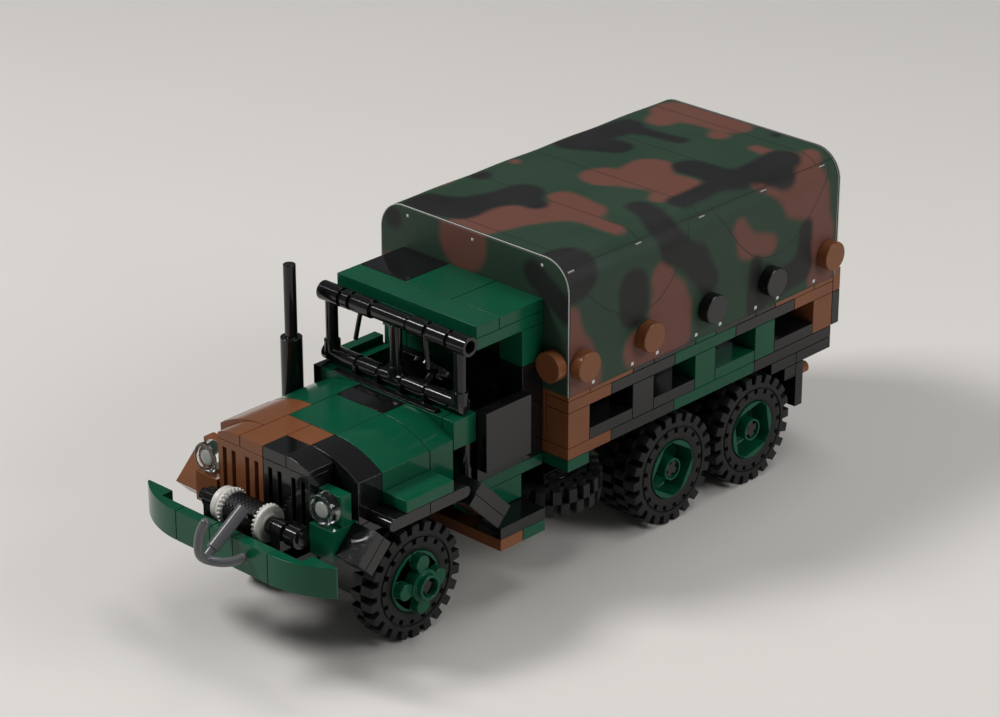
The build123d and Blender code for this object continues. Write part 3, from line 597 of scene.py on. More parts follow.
@dataclass
class Brickwork:
    """All moulded pieces: each CAD solid copied, merged and given rounded edges."""

    edge: float = 0.13
    own_edges: tuple[tuple[str, float], ...] = (
        ("discs_brown", 0.32), ("discs_black", 0.32), ("hook", 0.25), ("windscreen_frame", 0.1),
        ("steering_wheel", 0.1), ("winch_drum", 0.09), ("hub_front_left", 0.3), ("hub_front_right", 0.3),
        ("axles", 0.1), ("exhaust", 0.2), ("tail_lights", 0.25),
    )
    flat_angle: float = 0.6
    merge_step: float = 0.001

    def copy(self, node: bpy.types.Object) -> bpy.types.Mesh:
        """A node's mesh with its doubled points merged and its flat triangles joined.

        Args:
            node: the CAD node's object.

        Returns:
            The new mesh.
        """
        source = node.data
        places = np.empty(len(source.vertices) * 3, np.float32)
        corners = np.empty(len(source.loops), np.int32)
        source.vertices.foreach_get("co", places)
        source.loops.foreach_get("vertex_index", corners)
        places = places.reshape(-1, 3)
        grid = np.round(places / (self.merge_step * MM)).astype(np.int64)
        _, first, number = np.unique(grid, axis=0, return_index=True, return_inverse=True)
        faces = number.reshape(-1)[corners].reshape(-1, 3)
        distinct = (faces != np.roll(faces, 1, axis=1)).all(axis=1)
        mesh = bpy.data.meshes.new(node.name + "_moulded")
        mesh.from_pydata(places[first].tolist(), [], faces[distinct].tolist())
        edit = bmesh.new()
        edit.from_mesh(mesh)
        bmesh.ops.dissolve_limit(
            edit, angle_limit=math.radians(self.flat_angle), verts=edit.verts, edges=edit.edges
        )
        edit.to_mesh(mesh)
        edit.free()
        mesh.shade_smooth()
        return mesh

    def build(self) -> None:
        """Copies and dresses every node that no other piece stands for."""
        bodies = frame["record"]["behaviour"]["bodies"]
        body_of = {node: body for body, nodes in bodies.items() for node in nodes}
        slots = {row["node"]: Slot(row["material_slot"]) for row in frame["record"]["subparts"]}
        for name in sorted(set(frame["nodes"]) - Piece.done):
            mesh = self.copy(frame["nodes"][name])
            mesh.materials.append(Piece.palette[slots[name]])
            made = bpy.data.objects.new(name + "_moulded", mesh)
            bpy.context.scene.collection.objects.link(made)
            bevel = made.modifiers.new("rounded_edges", "BEVEL")
            bevel.width = dict(self.own_edges).get(name, self.edge) * MM
            bevel.segments = 2
            bevel.limit_method = "ANGLE"
            bevel.angle_limit = SHARP_ANGLE
            bevel.use_clamp_overlap = False
            bevel.harden_normals = True
            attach(made, body_of[name])
            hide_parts(name)
            log.info("%s: rounded edges on %s", made.name, body_of[name])


@dataclass
class LuggedTyre:
    """A tyre with two rows of lugs that stand in each other's gaps, a ring groove and a notched bead."""

    lugs: int = 22
    lug_share: float = 0.58
    flank_share: float = 0.05
    notches: int = 17
    notch_share: float = 0.30
    half_width: float = 3.5

    # Half a cross-section in a gap, from the middle of the tread to the bead, as the share of the half
    # width, the radius, and how deep a notch goes there
    section = np.array([
        (0.004, 12.85, 0), (0.30, 12.85, 0), (0.62, 12.88, 0), (0.90, 12.90, 0), (0.955, 12.88, 0),
        (0.975, 12.80, 0), (0.985, 12.68, 0), (0.99, 12.55, 0), (0.995, 11.90, 0), (0.985, 11.80, 0),
        (0.86, 11.70, 0), (0.86, 11.34, 0), (0.985, 11.26, 0.12), (0.995, 11.18, 0.40),
        (0.995, 10.08, 0.40), (0.995, 9.96, 0), (0.985, 9.50, 0), (0.965, 8.85, 0), (0.935, 8.35, 0),
        (0.88, 8.05, 0), (0.80, 7.96, 0),
    ])
    # Where the first of its points lie on a lug
    lug_section = np.array([
        (0.004, 15.20), (0.30, 15.20), (0.62, 15.18), (0.90, 15.12), (0.975, 15.03), (1.0, 14.85),
        (1.0, 13.60), (1.0, 12.55),
    ])

    def angles(self, turn: float) -> np.ndarray:
        """Every angle at which a lug or notch begins or ends, in order.

        Args:
            turn: angle of the first near lug and the first notch.

        Returns:
            The angles as a column.
        """
        every, lugs = [], (self.lugs, self.lug_share)
        for count, share, start in ((*lugs, 0.0), (*lugs, 0.5), (self.notches, self.notch_share, 0.0)):
            flanks = np.array([1, 1, -1, -1]) * share / 2 + np.array([1, -1, 1, -1]) * self.flank_share / 2
            place = np.add.outer(np.arange(count) + start, flanks).ravel()
            every.append(turn + place * 2 * np.pi / count)
        return np.unique(np.round(np.concatenate(every) % (2 * np.pi), 5))[:, None]

    def shell(self, turn: float) -> tuple[np.ndarray, np.ndarray, np.ndarray]:
        """The tyre about its own axle.

        A point of the section moves from its gap place to its lug place with the mask of its own row of
        lugs, and inwards with the mask of the notches. The near half of the section is followed by the far
        half, mirrored, whose lugs stand half a pitch further round.

        Args:
            turn: angle of the first near lug.

        Returns:
            Places along the axle, radii, and angles.
        """
        angle = self.angles(turn)
        gap_out, gap_radius, notch = self.section.T
        lug_out, lug_radius = np.concatenate([self.lug_section, self.section[len(self.lug_section):, :2]]).T
        notched = blocks(angle, self.notches, self.notch_share, self.flank_share, turn)
        out, radius = [], []
        for row_turn in (turn, turn + np.pi / self.lugs):
            lug = blocks(angle, self.lugs, self.lug_share, self.flank_share, row_turn)
            out.append((gap_out + lug * (lug_out - gap_out) - notched * notch) * self.half_width)
            radius.append(gap_radius + lug * (lug_radius - gap_radius))
        along = np.concatenate([out[0], -out[1][:, ::-1]], axis=1)
        return along, np.concatenate([radius[0], radius[1][:, ::-1]], axis=1), angle


@dataclass
class Wheels:
    """All tyres: singles at the front, twins at the back, and the spare lying flat."""

    tyre: LuggedTyre
    # Rows of wheels with the plural's letter where they are twins, and the angle of the first lug
    rows: tuple[tuple[str, str, float], ...] = (
        ("front", "", math.radians(7.6)), ("mid", "s", 0.0), ("rear", "s", 0.0),
    )

    def build(self) -> None:
        """Adds every tyre, turned about its axle, with a second one inside where it is a twin."""
        half = self.tyre.half_width
        for (row, plural, turn), (name, side) in product(self.rows, SIDES):
            node = f"tyre{plural}_{row}_{name}"
            along, *rest = self.tyre.shell(turn)
            outer, inner = outer_face(node, side), outer_face(node, -side)
            outer[0] -= side * half
            inner[0] += side * half
            middles = (outer, inner) if plural else (outer,)
            tyres = joined([turned(side * along, *rest, middle) for middle in middles])
            Piece(node + "_lugged", *tyres, Slot.RUBBER, f"wheel{plural}_{row}_{name}", node).make()
        spare = turned(*self.tyre.shell(0.0), sum(node_box("spare_tyre")) / 2, axis=2)
        Piece("spare_tyre_lugged", *spare, Slot.RUBBER, stands_for="spare_tyre").make()


@dataclass
class TwinHubs:
    """The dished hubs of the twin wheels, and the cross-shaped axle ends in their tubes."""

    sides: int = 240
    half_side: float = 6.4
    lip: float = 0.22
    turns: tuple[tuple[str, float], ...] = (("mid", -31.0), ("rear", 11.0))
    arm_half: float = 0.95
    arm_blend: float = 0.2
    notch: float = 0.7
    # Section of a hub as depth behind its face, radius, and 1 where the radius counts from the dish's edge
    section = np.array([
        (15.0, 7.85, 0), (0.1, 7.85, 0), (0.0, 7.78, 0), (0.0, 0.06, 1), (0.08, 0.0, 1), (5.5, -0.1, 1),
        (5.6, -0.25, 1), (5.6, 3.2, 0), (5.5, 3.05, 0), (0.1, 3.0, 0), (0.0, 2.92, 0), (0.0, 2.55, 0),
        (0.1, 2.47, 0), (15.0, 2.47, 0),
    ])
    # Section of an axle end as depth behind the hub's face, radius, and 1 where the notches are cut
    end_section = np.array([
        (0.45, 0.0, 0), (0.45, 0.5, 1), (0.45, 0.85, 1), (0.45, 1.05, 1), (0.45, 1.4, 1), (0.45, 1.8, 1),
        (0.45, 2.2, 1), (0.55, 2.36, 1), (1.19, 2.36, 0), (1.19, 0.0, 0),
    ])

    def shells(self, face: np.ndarray, side: int, turn: float) -> tuple[Shell, Shell]:
        """One hub and the axle end in it: two sections turned about the axle.

        The dish's edge lies on a square that the rim cuts off. The axle end is a short plug whose face is
        pressed in outside a cross of two bars.

        Args:
            face: middle of the hub's outer face.
            side: 1 on the truck's left and -1 on its right.
            turn: angle of square and cross in radians.

        Returns:
            The hub's and the axle end's points and faces.
        """
        angle = circle(self.sides)
        apart = (angle - turn + np.pi / 4) % (np.pi / 2) - np.pi / 4
        depth, radius, on_edge = self.section.T
        edge = np.minimum(self.half_side / np.cos(apart), radius[0] - self.lip)
        hub = turned(-side * depth, radius + on_edge * edge, angle, face)
        angle = circle(self.sides // 2)
        depth, radius, notched = self.end_section.T
        bars = np.abs(radius * np.cos(angle - turn)), np.abs(radius * np.sin(angle - turn))
        beside = np.clip((np.minimum(*bars) - self.arm_half) / self.arm_blend, 0, 1)
        sunk = depth + self.notch * notched * beside
        return hub, turned(-side * sunk, radius, angle, face, ring=False)

    def build(self) -> None:
        """Adds each hub on its wheels' body and all axle ends as one piece."""
        ends = []
        for (row, degrees), (name, side) in product(self.turns, SIDES):
            node = f"hub_{row}_{name}"
            hub, end = self.shells(outer_face(node, side), side, math.radians(degrees))
            Piece(node + "_dished", *hub, Slot.GREEN, f"wheels_{row}_{name}", node).make()
            ends.append(end)
        Piece("axle_ends", *joined(ends), Slot.BLACK).make()


@dataclass
class Winch:
    """The toothed wheels of the winch, the plain disc beside the far one, and the knurl of its drum."""

    teeth: int = 26
    tooth_share: float = 0.5
    tooth_flank: float = 0.12
    section_depth: float = 2.2
    knurl_radius: float = 4.02
    knurl_height: float = 0.12
    knurl_turns: int = 20
    knurl_pitch: float = 1.3
    knurl_gap: float = 0.12
    # Points of the knurl along the drum, and round it to a turn
    knurl_grid: tuple[int, int] = (84, 12)
    knurl_finish: MouldedPlastic = MouldedPlastic(
        "knurled_black", (0.004, 0.004, 0.0042), roughness=0.42, specular=0.16
    )
    # Places round a wheel, as shares of the pitch from a tooth's middle
    tooth_steps = np.array([-0.34, -0.22, -0.1, 0.1, 0.22, 0.34])
    # Section of a toothed wheel as place along its shaft, radius in a gap, and height of a tooth
    toothed_section = np.array([
        (0.0, 1.66, 0), (0.0, 3.0, 0), (0.06, 3.3, 0.1), (0.25, 3.75, 0.6), (0.65, 4.15, 0.7),
        (1.05, 4.3, 0.6), (1.25, 4.36, 0.44), (1.36, 4.62, 0.02), (1.75, 4.72, 0), (2.05, 4.64, 0),
        (2.2, 4.4, 0), (2.12, 4.0, 0), (1.98, 3.3, 0), (1.96, 2.7, 0), (2.12, 2.5, 0), (2.2, 2.35, 0),
        (2.2, 1.66, 0),
    ])
    plain_section = np.array([
        (0.0, 1.66, 0), (0.0, 3.9, 0), (0.12, 4.2, 0), (0.4, 4.38, 0), (1.7, 4.4, 0), (2.1, 4.25, 0),
        (2.2, 3.9, 0), (2.2, 1.66, 0),
    ])
    # Places of face and back: of the near wheel from the shaft's near end, of the others from its far end
    near_wheel: Pair = (-2.2, 0.0)
    far_wheel: Pair = (4.2, 2.2)
    plain_disc: Pair = (0.0, 1.9)

    def wheel(self, section: np.ndarray, face: float, back: float, centre: np.ndarray) -> Shell:
        """One wheel: its section turned about the shaft, pushed out to the tooth radius by a tooth mask.

        Args:
            section: place along the shaft, radius and tooth height.
            face: x of the toothed face.
            back: x of the back.
            centre: a place on the shaft, with x 0.

        Returns:
            Points and faces.
        """
        angle = np.add.outer(np.arange(self.teeth), self.tooth_steps).reshape(-1, 1) * 2 * np.pi / self.teeth
        along, gap, height = section.T
        radius = gap + blocks(angle, self.teeth, self.tooth_share, self.tooth_flank) * height
        return turned(face + (back - face) * along / self.section_depth, radius, angle, centre)

    def knurl(self, start: float, stop: float, centre: np.ndarray) -> Shell:
        """The drum's skin: a tube whose radius rises with the product of two sines that wind opposite ways.

        Args:
            start: x where the skin begins.
            stop: x where it ends.
            centre: a place on the shaft, with x 0.

        Returns:
            Points and faces.
        """
        along, to_a_turn = self.knurl_grid
        angle = circle(to_a_turn * self.knurl_turns)
        x = np.linspace(start, stop, along)
        winding = np.pi * (x - start) / self.knurl_pitch
        waves = self.knurl_turns / 2 * angle
        height = np.abs(np.sin(waves + winding) * np.sin(waves - winding))
        return turned(x, self.knurl_radius + self.knurl_height * height, angle, centre, ring=False)

    def build(self) -> None:
        """Adds the wheels as one piece and the drum's skin as another."""
        low, high = node_box("winch_gears")
        centre = (low + high) / 2 * np.array([0, 1, 1])
        near, far = high[0] + np.array(self.near_wheel), low[0] + np.array(self.far_wheel)
        wheels = [self.wheel(self.toothed_section, *ends, centre) for ends in (near, far)]
        wheels.append(self.wheel(self.plain_section, *(low[0] + np.array(self.plain_disc)), centre))
        Piece("winch_wheels", *joined(wheels), Slot.TAN, stands_for="winch_gears").make()
        skin = self.knurl(far[0] + self.knurl_gap, near[0] - self.knurl_gap, centre)
        Piece("winch_knurl", *skin, Slot.BLACK, closed=False).make(self.knurl_finish.material())


@dataclass
class Headlights:
    """Two clear round lamps, each with a pale ringed disc in its bowl."""

    sides: int = 64
    # Sections turned about the lamp's axis, as depth behind the face and radius
    lens_section = np.array([
        (0.95, 0.0), (0.95, 2.85), (0.82, 3.02), (0.18, 3.08), (0.05, 3.16), (0.0, 3.28), (0.0, 3.66),
        (0.06, 3.8), (0.2, 3.88), (0.5, 3.9), (2.9, 3.9), (3.12, 3.86), (3.2, 3.74), (3.2, 0.0),
    ])
    core_section = np.array([
        (0.16, 0.0), (0.17, 0.4), (0.19, 0.8), (0.22, 1.2), (0.28, 1.6), (0.36, 1.85), (0.5, 1.98),
        (0.86, 2.0), (0.92, 1.95), (0.92, 0.0),
    ])
    core_finish: FrostedCore = FrostedCore("lamp_core", (0.70, 0.72, 0.67))

    def lamps(self, section: np.ndarray) -> Shell:
        """A section turned about both lamps' axes, which run along y, its face in front.

        Args:
            section: depth and radius of each point.

        Returns:
            Points and faces.
        """
        low, high = node_box("headlight_lenses")
        half = (high[2] - low[2]) / 2
        depth, radius = section.T
        middles = [np.array([x, low[1], low[2] + half]) for x in (high[0] - half, low[0] + half)]
        return joined([turned(depth, radius, circle(self.sides), middle, 1, False) for middle in middles])

    def build(self) -> None:
        """Adds lenses and cores."""
        lenses, cores = self.lamps(self.lens_section), self.lamps(self.core_section)
        Piece("lamp_lenses", *lenses, Slot.LENS, stands_for="headlight_lenses").make()
        core = Piece("lamp_cores", *cores, Slot.LENS).make(self.core_finish.material())
        carry(core, from_middle=np.tile(self.core_section[:, 1], 2 * self.sides))


# Patches of the print as capsules: two ends along and round the sheet, and a radius
Capsules = tuple[tuple[float, float, float, float, float], ...]

WRAP_BLACK: Capsules = (
    (5, 85, 7.5, 75.8, 6.2), (8.3, 76.7, 25, 71.7, 5), (24.2, 71.7, 22.9, 64.2, 3.2),
    (27.5, 72.5, 27.5, 72.5, 4.5), (61.7, 86.7, 66.7, 76.7, 4.8), (63.3, 87.5, 80, 85, 5),
    (80, 81, 82.1, 67.5, 2.2), (27.9, 88.3, 27.9, 88.3, 3), (49.2, 39.6, 65, 40, 3.2),
    (69.2, 52.5, 70, 40.8, 5.2), (70, 40, 80, 39.2, 3.5), (80, 38.3, 90.8, 40, 5),
    (83.8, 35, 83.8, 35, 4.5), (2.5, 32.9, 2.5, 32.9, 8.5), (39.6, 44.2, 36.7, 35, 3.6),
    (36.7, 35, 38.3, 28.3, 3.8), (38.3, 28.3, 47.5, 21.7, 3.8), (47.5, 21.7, 52.1, 15, 4),
    (23.3, 21.7, 23.8, 16.7, 5.6), (91.2, 17.5, 90.4, 8.3, 2.9), (90, 6.7, 72.5, 4.2, 4),
    (70.8, 13.3, 70.8, 1.7, 2.6), (102.5, 51.7, 102.5, 51.7, 1.5), (16, 103, 24, 100, 4.6),
    (24, 100, 36, 106, 3.6), (36, 106, 38, 114, 2.8), (46, 118, 54, 121, 5), (54, 121, 58, 112, 3.2),
    (46, 118, 44, 127, 3.4), (64, 104, 76, 100, 4.4), (76, 100, 84, 106, 3), (70, 104, 70, 110, 2.8),
    (86, 119, 97, 124, 5.2), (86, 119, 81, 112, 2.6), (4, 118, 9, 127, 5), (9, 122, 17, 121, 3),
)
WRAP_BROWN: Capsules = (
    (1.5, 66.2, 10.8, 65, 7), (10.8, 64.2, 25, 55.8, 6.2), (24.6, 55, 24.4, 39.5, 2.8),
    (31.2, 62.5, 29.6, 51.7, 3.9), (48.8, 64.6, 48.8, 64.6, 6.2), (53.3, 58.3, 61.7, 60, 6.2),
    (55, 55, 57.5, 46.7, 6), (47.5, 44.5, 54, 46.5, 3), (98.3, 83.3, 100.8, 67.5, 6.5),
    (90, 80.8, 90, 80.8, 4.2), (91.7, 62.5, 91.7, 62.5, 2.8), (100, 63.3, 100, 63.3, 4),
    (91.2, 49.2, 90.8, 45.8, 2), (75, 35.4, 86.7, 26.7, 2.5), (86.7, 27, 95, 23.3, 4.5),
    (95.8, 33.3, 99.2, 36.7, 2.5), (92, 39, 91.5, 31, 3.4), (95, 28.3, 96.7, 15, 4.5),
    (97.5, 13.3, 98.3, 2.5, 5.5), (64.2, 25.8, 67.1, 20, 2.6), (67.1, 20, 76.2, 17.5, 3),
    (0, 20, 2, 8, 4), (3, 9, 6, 3, 6), (34.2, 21.7, 34.2, 21.7, 4), (36.7, 13.3, 36.7, 5, 7),
    (25, 5, 34, 4, 5), (42.5, 10.8, 42.5, 2.5, 2.8), (40.8, 88.3, 40.8, 88.3, 1.5), (8, 99, 18, 95, 5),
    (9, 108, 17, 111, 4.8), (17, 111, 23, 118, 3), (28, 124, 38, 119, 6.2), (38, 119, 42, 110, 3.4),
    (30, 116, 28, 111, 2.8), (60, 115, 72, 121, 5.4), (72, 121, 80, 118, 3.2), (60, 115, 55, 108, 3),
    (88, 101, 97, 108, 5.2), (97, 108, 101, 117, 3.4), (90, 108, 88, 113, 2.6),
)
FRONT_BLACK: Capsules = (
    (20.5, 79, 31, 72, 3.5), (-28, 80, -28, 80, 3), (-20, 58, -12, 54, 4.5),
)
FRONT_BROWN: Capsules = (
    (-3.5, 82, -3.5, 80.5, 8), (12, 60, 20, 56, 5), (-29, 66, -24, 62, 4),
)
BACK_BLACK: Capsules = (
    (30.5, 70, 30.5, 62, 2.6), (-12, 83, -22, 82, 2.8), (-30.5, 60, -30.5, 54, 2.6),
)
BACK_BROWN: Capsules = (
    (30.5, 58, 30.5, 53, 2.8), (12, 83, 0, 83, 2.8), (-30.5, 74, -30.5, 66, 2.8),
)


def to_patches(along: np.ndarray, around: np.ndarray, capsules: Capsules, blend: float = 1.3) -> np.ndarray:
    """Distance from each place of a sheet to the nearest patch, negative inside, neighbours melted together.

    The distance to a capsule is that to its middle line less its radius. The patches' distances are joined
    by minus blend times the logarithm of the sum of exp(-distance / blend).

    Args:
        along: first coordinate of the places.
        around: second coordinate of the places.
        capsules: the patches.
        blend: how far neighbours melt, in millimetres.

    Returns:
        One distance to a place.
    """
    rows = np.array(capsules)[:, :, None]
    start, stop, radius = rows[:, 0:2], rows[:, 2:4], rows[:, 4]
    place = np.stack([along.ravel(), around.ravel()])[None]
    run = stop - start
    share = ((place - start) * run).sum(axis=1) / np.maximum((run * run).sum(axis=1), 1e-9)
    nearest = start + np.clip(share, 0, 1)[:, None] * run
    distance = np.linalg.norm(place - nearest, axis=1) - radius
    lowest = distance.min(axis=0)
    return lowest - blend * np.log(np.exp(-(distance - lowest) / blend).sum(axis=0))


@dataclass
class Tarpaulin:
    """The printed sheet wrapped over the bed, the sheet that closes its front, their marks with painted
    shadows round them, the back hem with a layer of painted shade.
    """

    corner: float = 8.0
    thickness: float = 0.3
    cell: float = 0.66
    belly: float = 0.16
    # How far from the wrap's ends and from its lower edges the belly is full
    belly_fade: Pair = (6.0, 8.0)
    front_inset: float = 0.34
    front_setback: float = 0.06
    hem_width: float = 3.2
    hem_rows: int = 6
    hem_foot_gap: float = 0.06
    # The hem's layers as name, place of the outer face behind the wrap, and thickness
    hem_layers: tuple[tuple[str, float, float], ...] = (
        # The first layer is painted shade: a dark sheet that fills the gap between the wrap's end and the
        # band
        ("tarp_binding", 0.44, 0.42), ("tarp_hem", 0.76, 0.30),
    )
    disc_pitch: float = 24.0
    first_disc: float = 4.35
    rivets: tuple[float, ...] = (9.0, 23.5, 32.9, 47.9, 57.3, 71.5, 80.4, 95.5)
    rivet_height: float = 1.4
    dashes: tuple[float, ...] = (2.5, 27.1, 51.0, 75.3, 99.2)
    dash_height: float = 32.7
    front_rivets: tuple[float, ...] = (-22.7, -0.2, 23.2)
    front_rivet_drop: float = 2.6
    # Half of both sides, and the height, of each kind of mark
    rivet_size: Triple = (0.55, 0.5, 0.22)
    front_rivet_size: Triple = (0.4, 0.4, 0.16)
    dash_size: Triple = (1.2, 0.22, 0.16)
    # The dark rims are painted shadows round the raised rivets and dashes
    rivet_shadow_size: Triple = (0.84, 0.78, 0.08)
    dash_shadow_size: Triple = (1.5, 0.52, 0.07)
    mark_sink: float = 0.04
    mark_steps = np.array([-1.0, -0.92, -0.5, 0.0, 0.5, 0.92, 1.0])
    wrap_finish: CamouflageCloth = CamouflageCloth(
        "camouflage_wrap", length=104.35, margin=0.13,
        cross_seams=(3.8, 27.5, 50.4, 74.2, 97.5), long_seams=(33.5, 94.5),
        swags=((28.0, 14.5, 0.0238, 0.0571), (78.0, 14.0, 0.037, 0.033)),
    )
    end_finish: CamouflageCloth = CamouflageCloth("camouflage_end")
    edge_finish: MottledSurface = card("raw_edge", (0.50, 0.50, 0.48))
    rivet_finish: MottledSurface = card("printed_white", (0.66, 0.66, 0.63))
    dash_finish: MottledSurface = card("printed_grey", (0.34, 0.34, 0.33))
    # Near-black card for painted shade and shadow: the hem's first layer and the rims round the marks
    shadow_rim_finish: MottledSurface = card("printed_rim", (0.010, 0.012, 0.011))

    def __post_init__(self) -> None:
        """Reads the sheet's box from the frame and makes the materials that pieces share."""
        self.low, self.high = node_box("tarp")
        self.half = self.high[0]
        self.side_run = self.high[2] - self.corner - self.low[2]
        self.arc_run = np.pi / 2 * self.corner
        self.top_run = 2 * (self.half - self.corner)
        self.length = self.high[1] - self.low[1]
        self.girth = 2 * (self.side_run + self.arc_run) + self.top_run
        self.white, self.cloth = self.edge_finish.material(), self.end_finish.material()
        # Near-black material of painted shade and shadow, for the hem's first layer and the rims round the
        # marks
        self.ink_and_painted_shade = self.shadow_rim_finish.material()

    def outline(self, around: np.ndarray) -> tuple[np.ndarray, np.ndarray, np.ndarray, np.ndarray]:
        """Place and outward direction at a distance round the wrap, from its near lower edge.

        Up the near side, a quarter circle, across the top, a quarter circle, and down the far side.

        Args:
            around: distances in millimetres.

        Returns:
            x, z, and the two parts of the outward direction.
        """
        first = np.clip((around - self.side_run) / self.arc_run, 0, 1)
        second = np.clip((around - self.side_run - self.arc_run - self.top_run) / self.arc_run, 0, 1)
        angle = (first + second) * np.pi / 2
        flat = np.clip(around - self.side_run - self.arc_run, 0, self.top_run)
        rise = np.clip(around, 0, self.side_run)
        drop = np.clip(around - (self.girth - self.side_run), 0, self.side_run)
        x = self.half - self.corner - flat + self.corner * np.cos(angle)
        z = self.low[2] + rise - drop + self.corner * np.sin(angle)
        return x, z, np.cos(angle), np.sin(angle)

    def printed(
        self, name: str, points: np.ndarray, place: Sequence[np.ndarray], patches: tuple[Capsules, Capsules],
        materials: Sequence[bpy.types.Material], thickness: float, stands_for: str = "",
    ) -> bpy.types.Object:
        """A printed piece with its thickness inwards and its edge round it.

        Args:
            name: the piece's name.
            points: its grid of points.
            place: both coordinates of its print at the points.
            patches: its brown and its black patches.
            materials: of its faces and of its edge.
            thickness: how thick it is, away from its outer face.
            stands_for: the CAD node it stands for, if any.

        Returns:
            The piece.
        """
        faces = grid_faces(*points.shape[:2])
        made = Piece(name, points, faces, Slot.CLOTH, stands_for=stands_for, closed=False).make(*materials)
        brown, black = (to_patches(*place, capsules) for capsules in patches)
        carry(made, along=place[0], around=place[1], to_brown=brown, to_black=black)
        solid = made.modifiers.new("thickness", "SOLIDIFY")
        solid.thickness = thickness * MM
        solid.offset = -1.0
        solid.material_offset_rim = 1
        return made

    def wrap(self) -> bpy.types.Object:
        """The wrapped sheet: the outline run along the truck, with a slight belly between the discs.

        Returns:
            The sheet.
        """
        along = np.linspace(0, self.length, int(self.length / self.cell))[:, None]
        around = np.linspace(0, self.girth, int(self.girth / self.cell))[None, :]
        x, z, out_x, out_z = self.outline(around)
        wave = np.sin(np.pi * (along - self.first_disc) / self.disc_pitch) ** 2
        from_end, from_foot = np.minimum(along, self.length - along), np.minimum(around, self.girth - around)
        ends, feet = (np.clip(a / b, 0, 1) for a, b in zip((from_end, from_foot), self.belly_fade))
        belly = self.belly * wave * ends * feet
        spread = np.broadcast_arrays(x + belly * out_x, self.low[1] + along, z + belly * out_z)
        return self.printed(
            "tarp_wrap", np.stack(spread, axis=-1), np.broadcast_arrays(along, around),
            (WRAP_BROWN, WRAP_BLACK), (self.wrap_finish.material(), self.white), self.thickness, "tarp",
        )

    def front(self) -> None:
        """The front sheet: straight runs from a lower edge up to the outline, set just inside the wrap."""
        half, corner, top = np.array([self.half, self.corner, self.high[2]]) - self.front_inset
        height = top - self.low[2]
        x = np.linspace(-half, half, int(2 * half / self.cell))[:, None]
        over = np.clip(np.abs(x) - (half - corner), 0, corner)
        crown = top - corner + np.sqrt(corner ** 2 - over ** 2)
        share = np.linspace(0, 1, int(height / self.cell))[None, :]
        x, y, z = np.broadcast_arrays(
            x, self.low[1] + self.front_setback, self.low[2] + share * (crown - self.low[2])
        )
        made = self.printed(
            "tarp_front", np.stack([x, y, z], axis=-1), (x, z), (FRONT_BROWN, FRONT_BLACK),
            (self.cloth, self.white), self.thickness,
        )

    def hem(self) -> list[bpy.types.Object]:
        """The hem round the open back: a dark layer of painted shade in the gap behind the wrap, and a
        printed band, each the outline run inwards.

        Returns:
            The two layers.
        """
        foot = node_box("tailgate_brown")[1][2] + self.hem_foot_gap - self.low[2]
        around = np.linspace(foot, self.girth - foot, int((self.girth - 2 * foot) / self.cell))[:, None]
        inward = np.linspace(self.hem_width, 0, self.hem_rows)[None, :]
        x, z, out_x, out_z = self.outline(around)
        x, z = x - inward * out_x, z - inward * out_z
        layers = []
        # The first layer is dark on both faces and on its edge: painted shade
        pairs = (self.ink_and_painted_shade, self.ink_and_painted_shade), (self.cloth, self.white)
        for (name, back, thickness), materials in zip(self.hem_layers, pairs):
            points = np.stack([x, np.full(x.shape, self.high[1] + back), z], axis=-1)
            layers.append(self.printed(name, points, (x, z), (BACK_BROWN, BACK_BLACK), materials, thickness))
        return layers

    def pads(self, rows: Sequence[np.ndarray], sizes: Triple) -> Shell:
        """Small pillows: a square grid whose height falls off with the fourth power towards its border.

        Args:
            rows: middles of the pillows, and unit directions of their first and second sides.
            sizes: half of both sides, and the height.

        Returns:
            Points and faces.
        """
        a, b = np.meshgrid(self.mark_steps, self.mark_steps, indexing="ij")
        rise = (1 - np.maximum(np.abs(a), np.abs(b)) ** 4) * sizes[2] - self.mark_sink
        middles, first, second = (row[:, None, None] for row in rows)
        ways = (first, a * sizes[0]), (second, b * sizes[1]), (np.cross(first, second), rise)
        block = middles + sum(way * size[..., None] for way, size in ways)
        return joined([(pad, grid_faces(*a.shape)) for pad in block])

    def on_wrap(self, along: Sequence[float], around: float) -> tuple[np.ndarray, np.ndarray, np.ndarray]:
        """Places on the wrap with their direction along the truck and round the sheet.

        Args:
            along: distances from the sheet's front edge.
            around: distance round the wrap, the same for all.

        Returns:
            Places and the two unit directions.
        """
        run = np.array(along)
        x, z, out_x, out_z = self.outline(np.full(run.shape, around))
        middles = np.stack([x, self.low[1] + run, z], axis=-1)
        lengthwise = np.tile([0.0, 1.0, 0.0], (len(run), 1))
        roundwise = np.stack([-out_z, np.zeros_like(run), out_x], axis=-1)
        return middles, lengthwise, roundwise

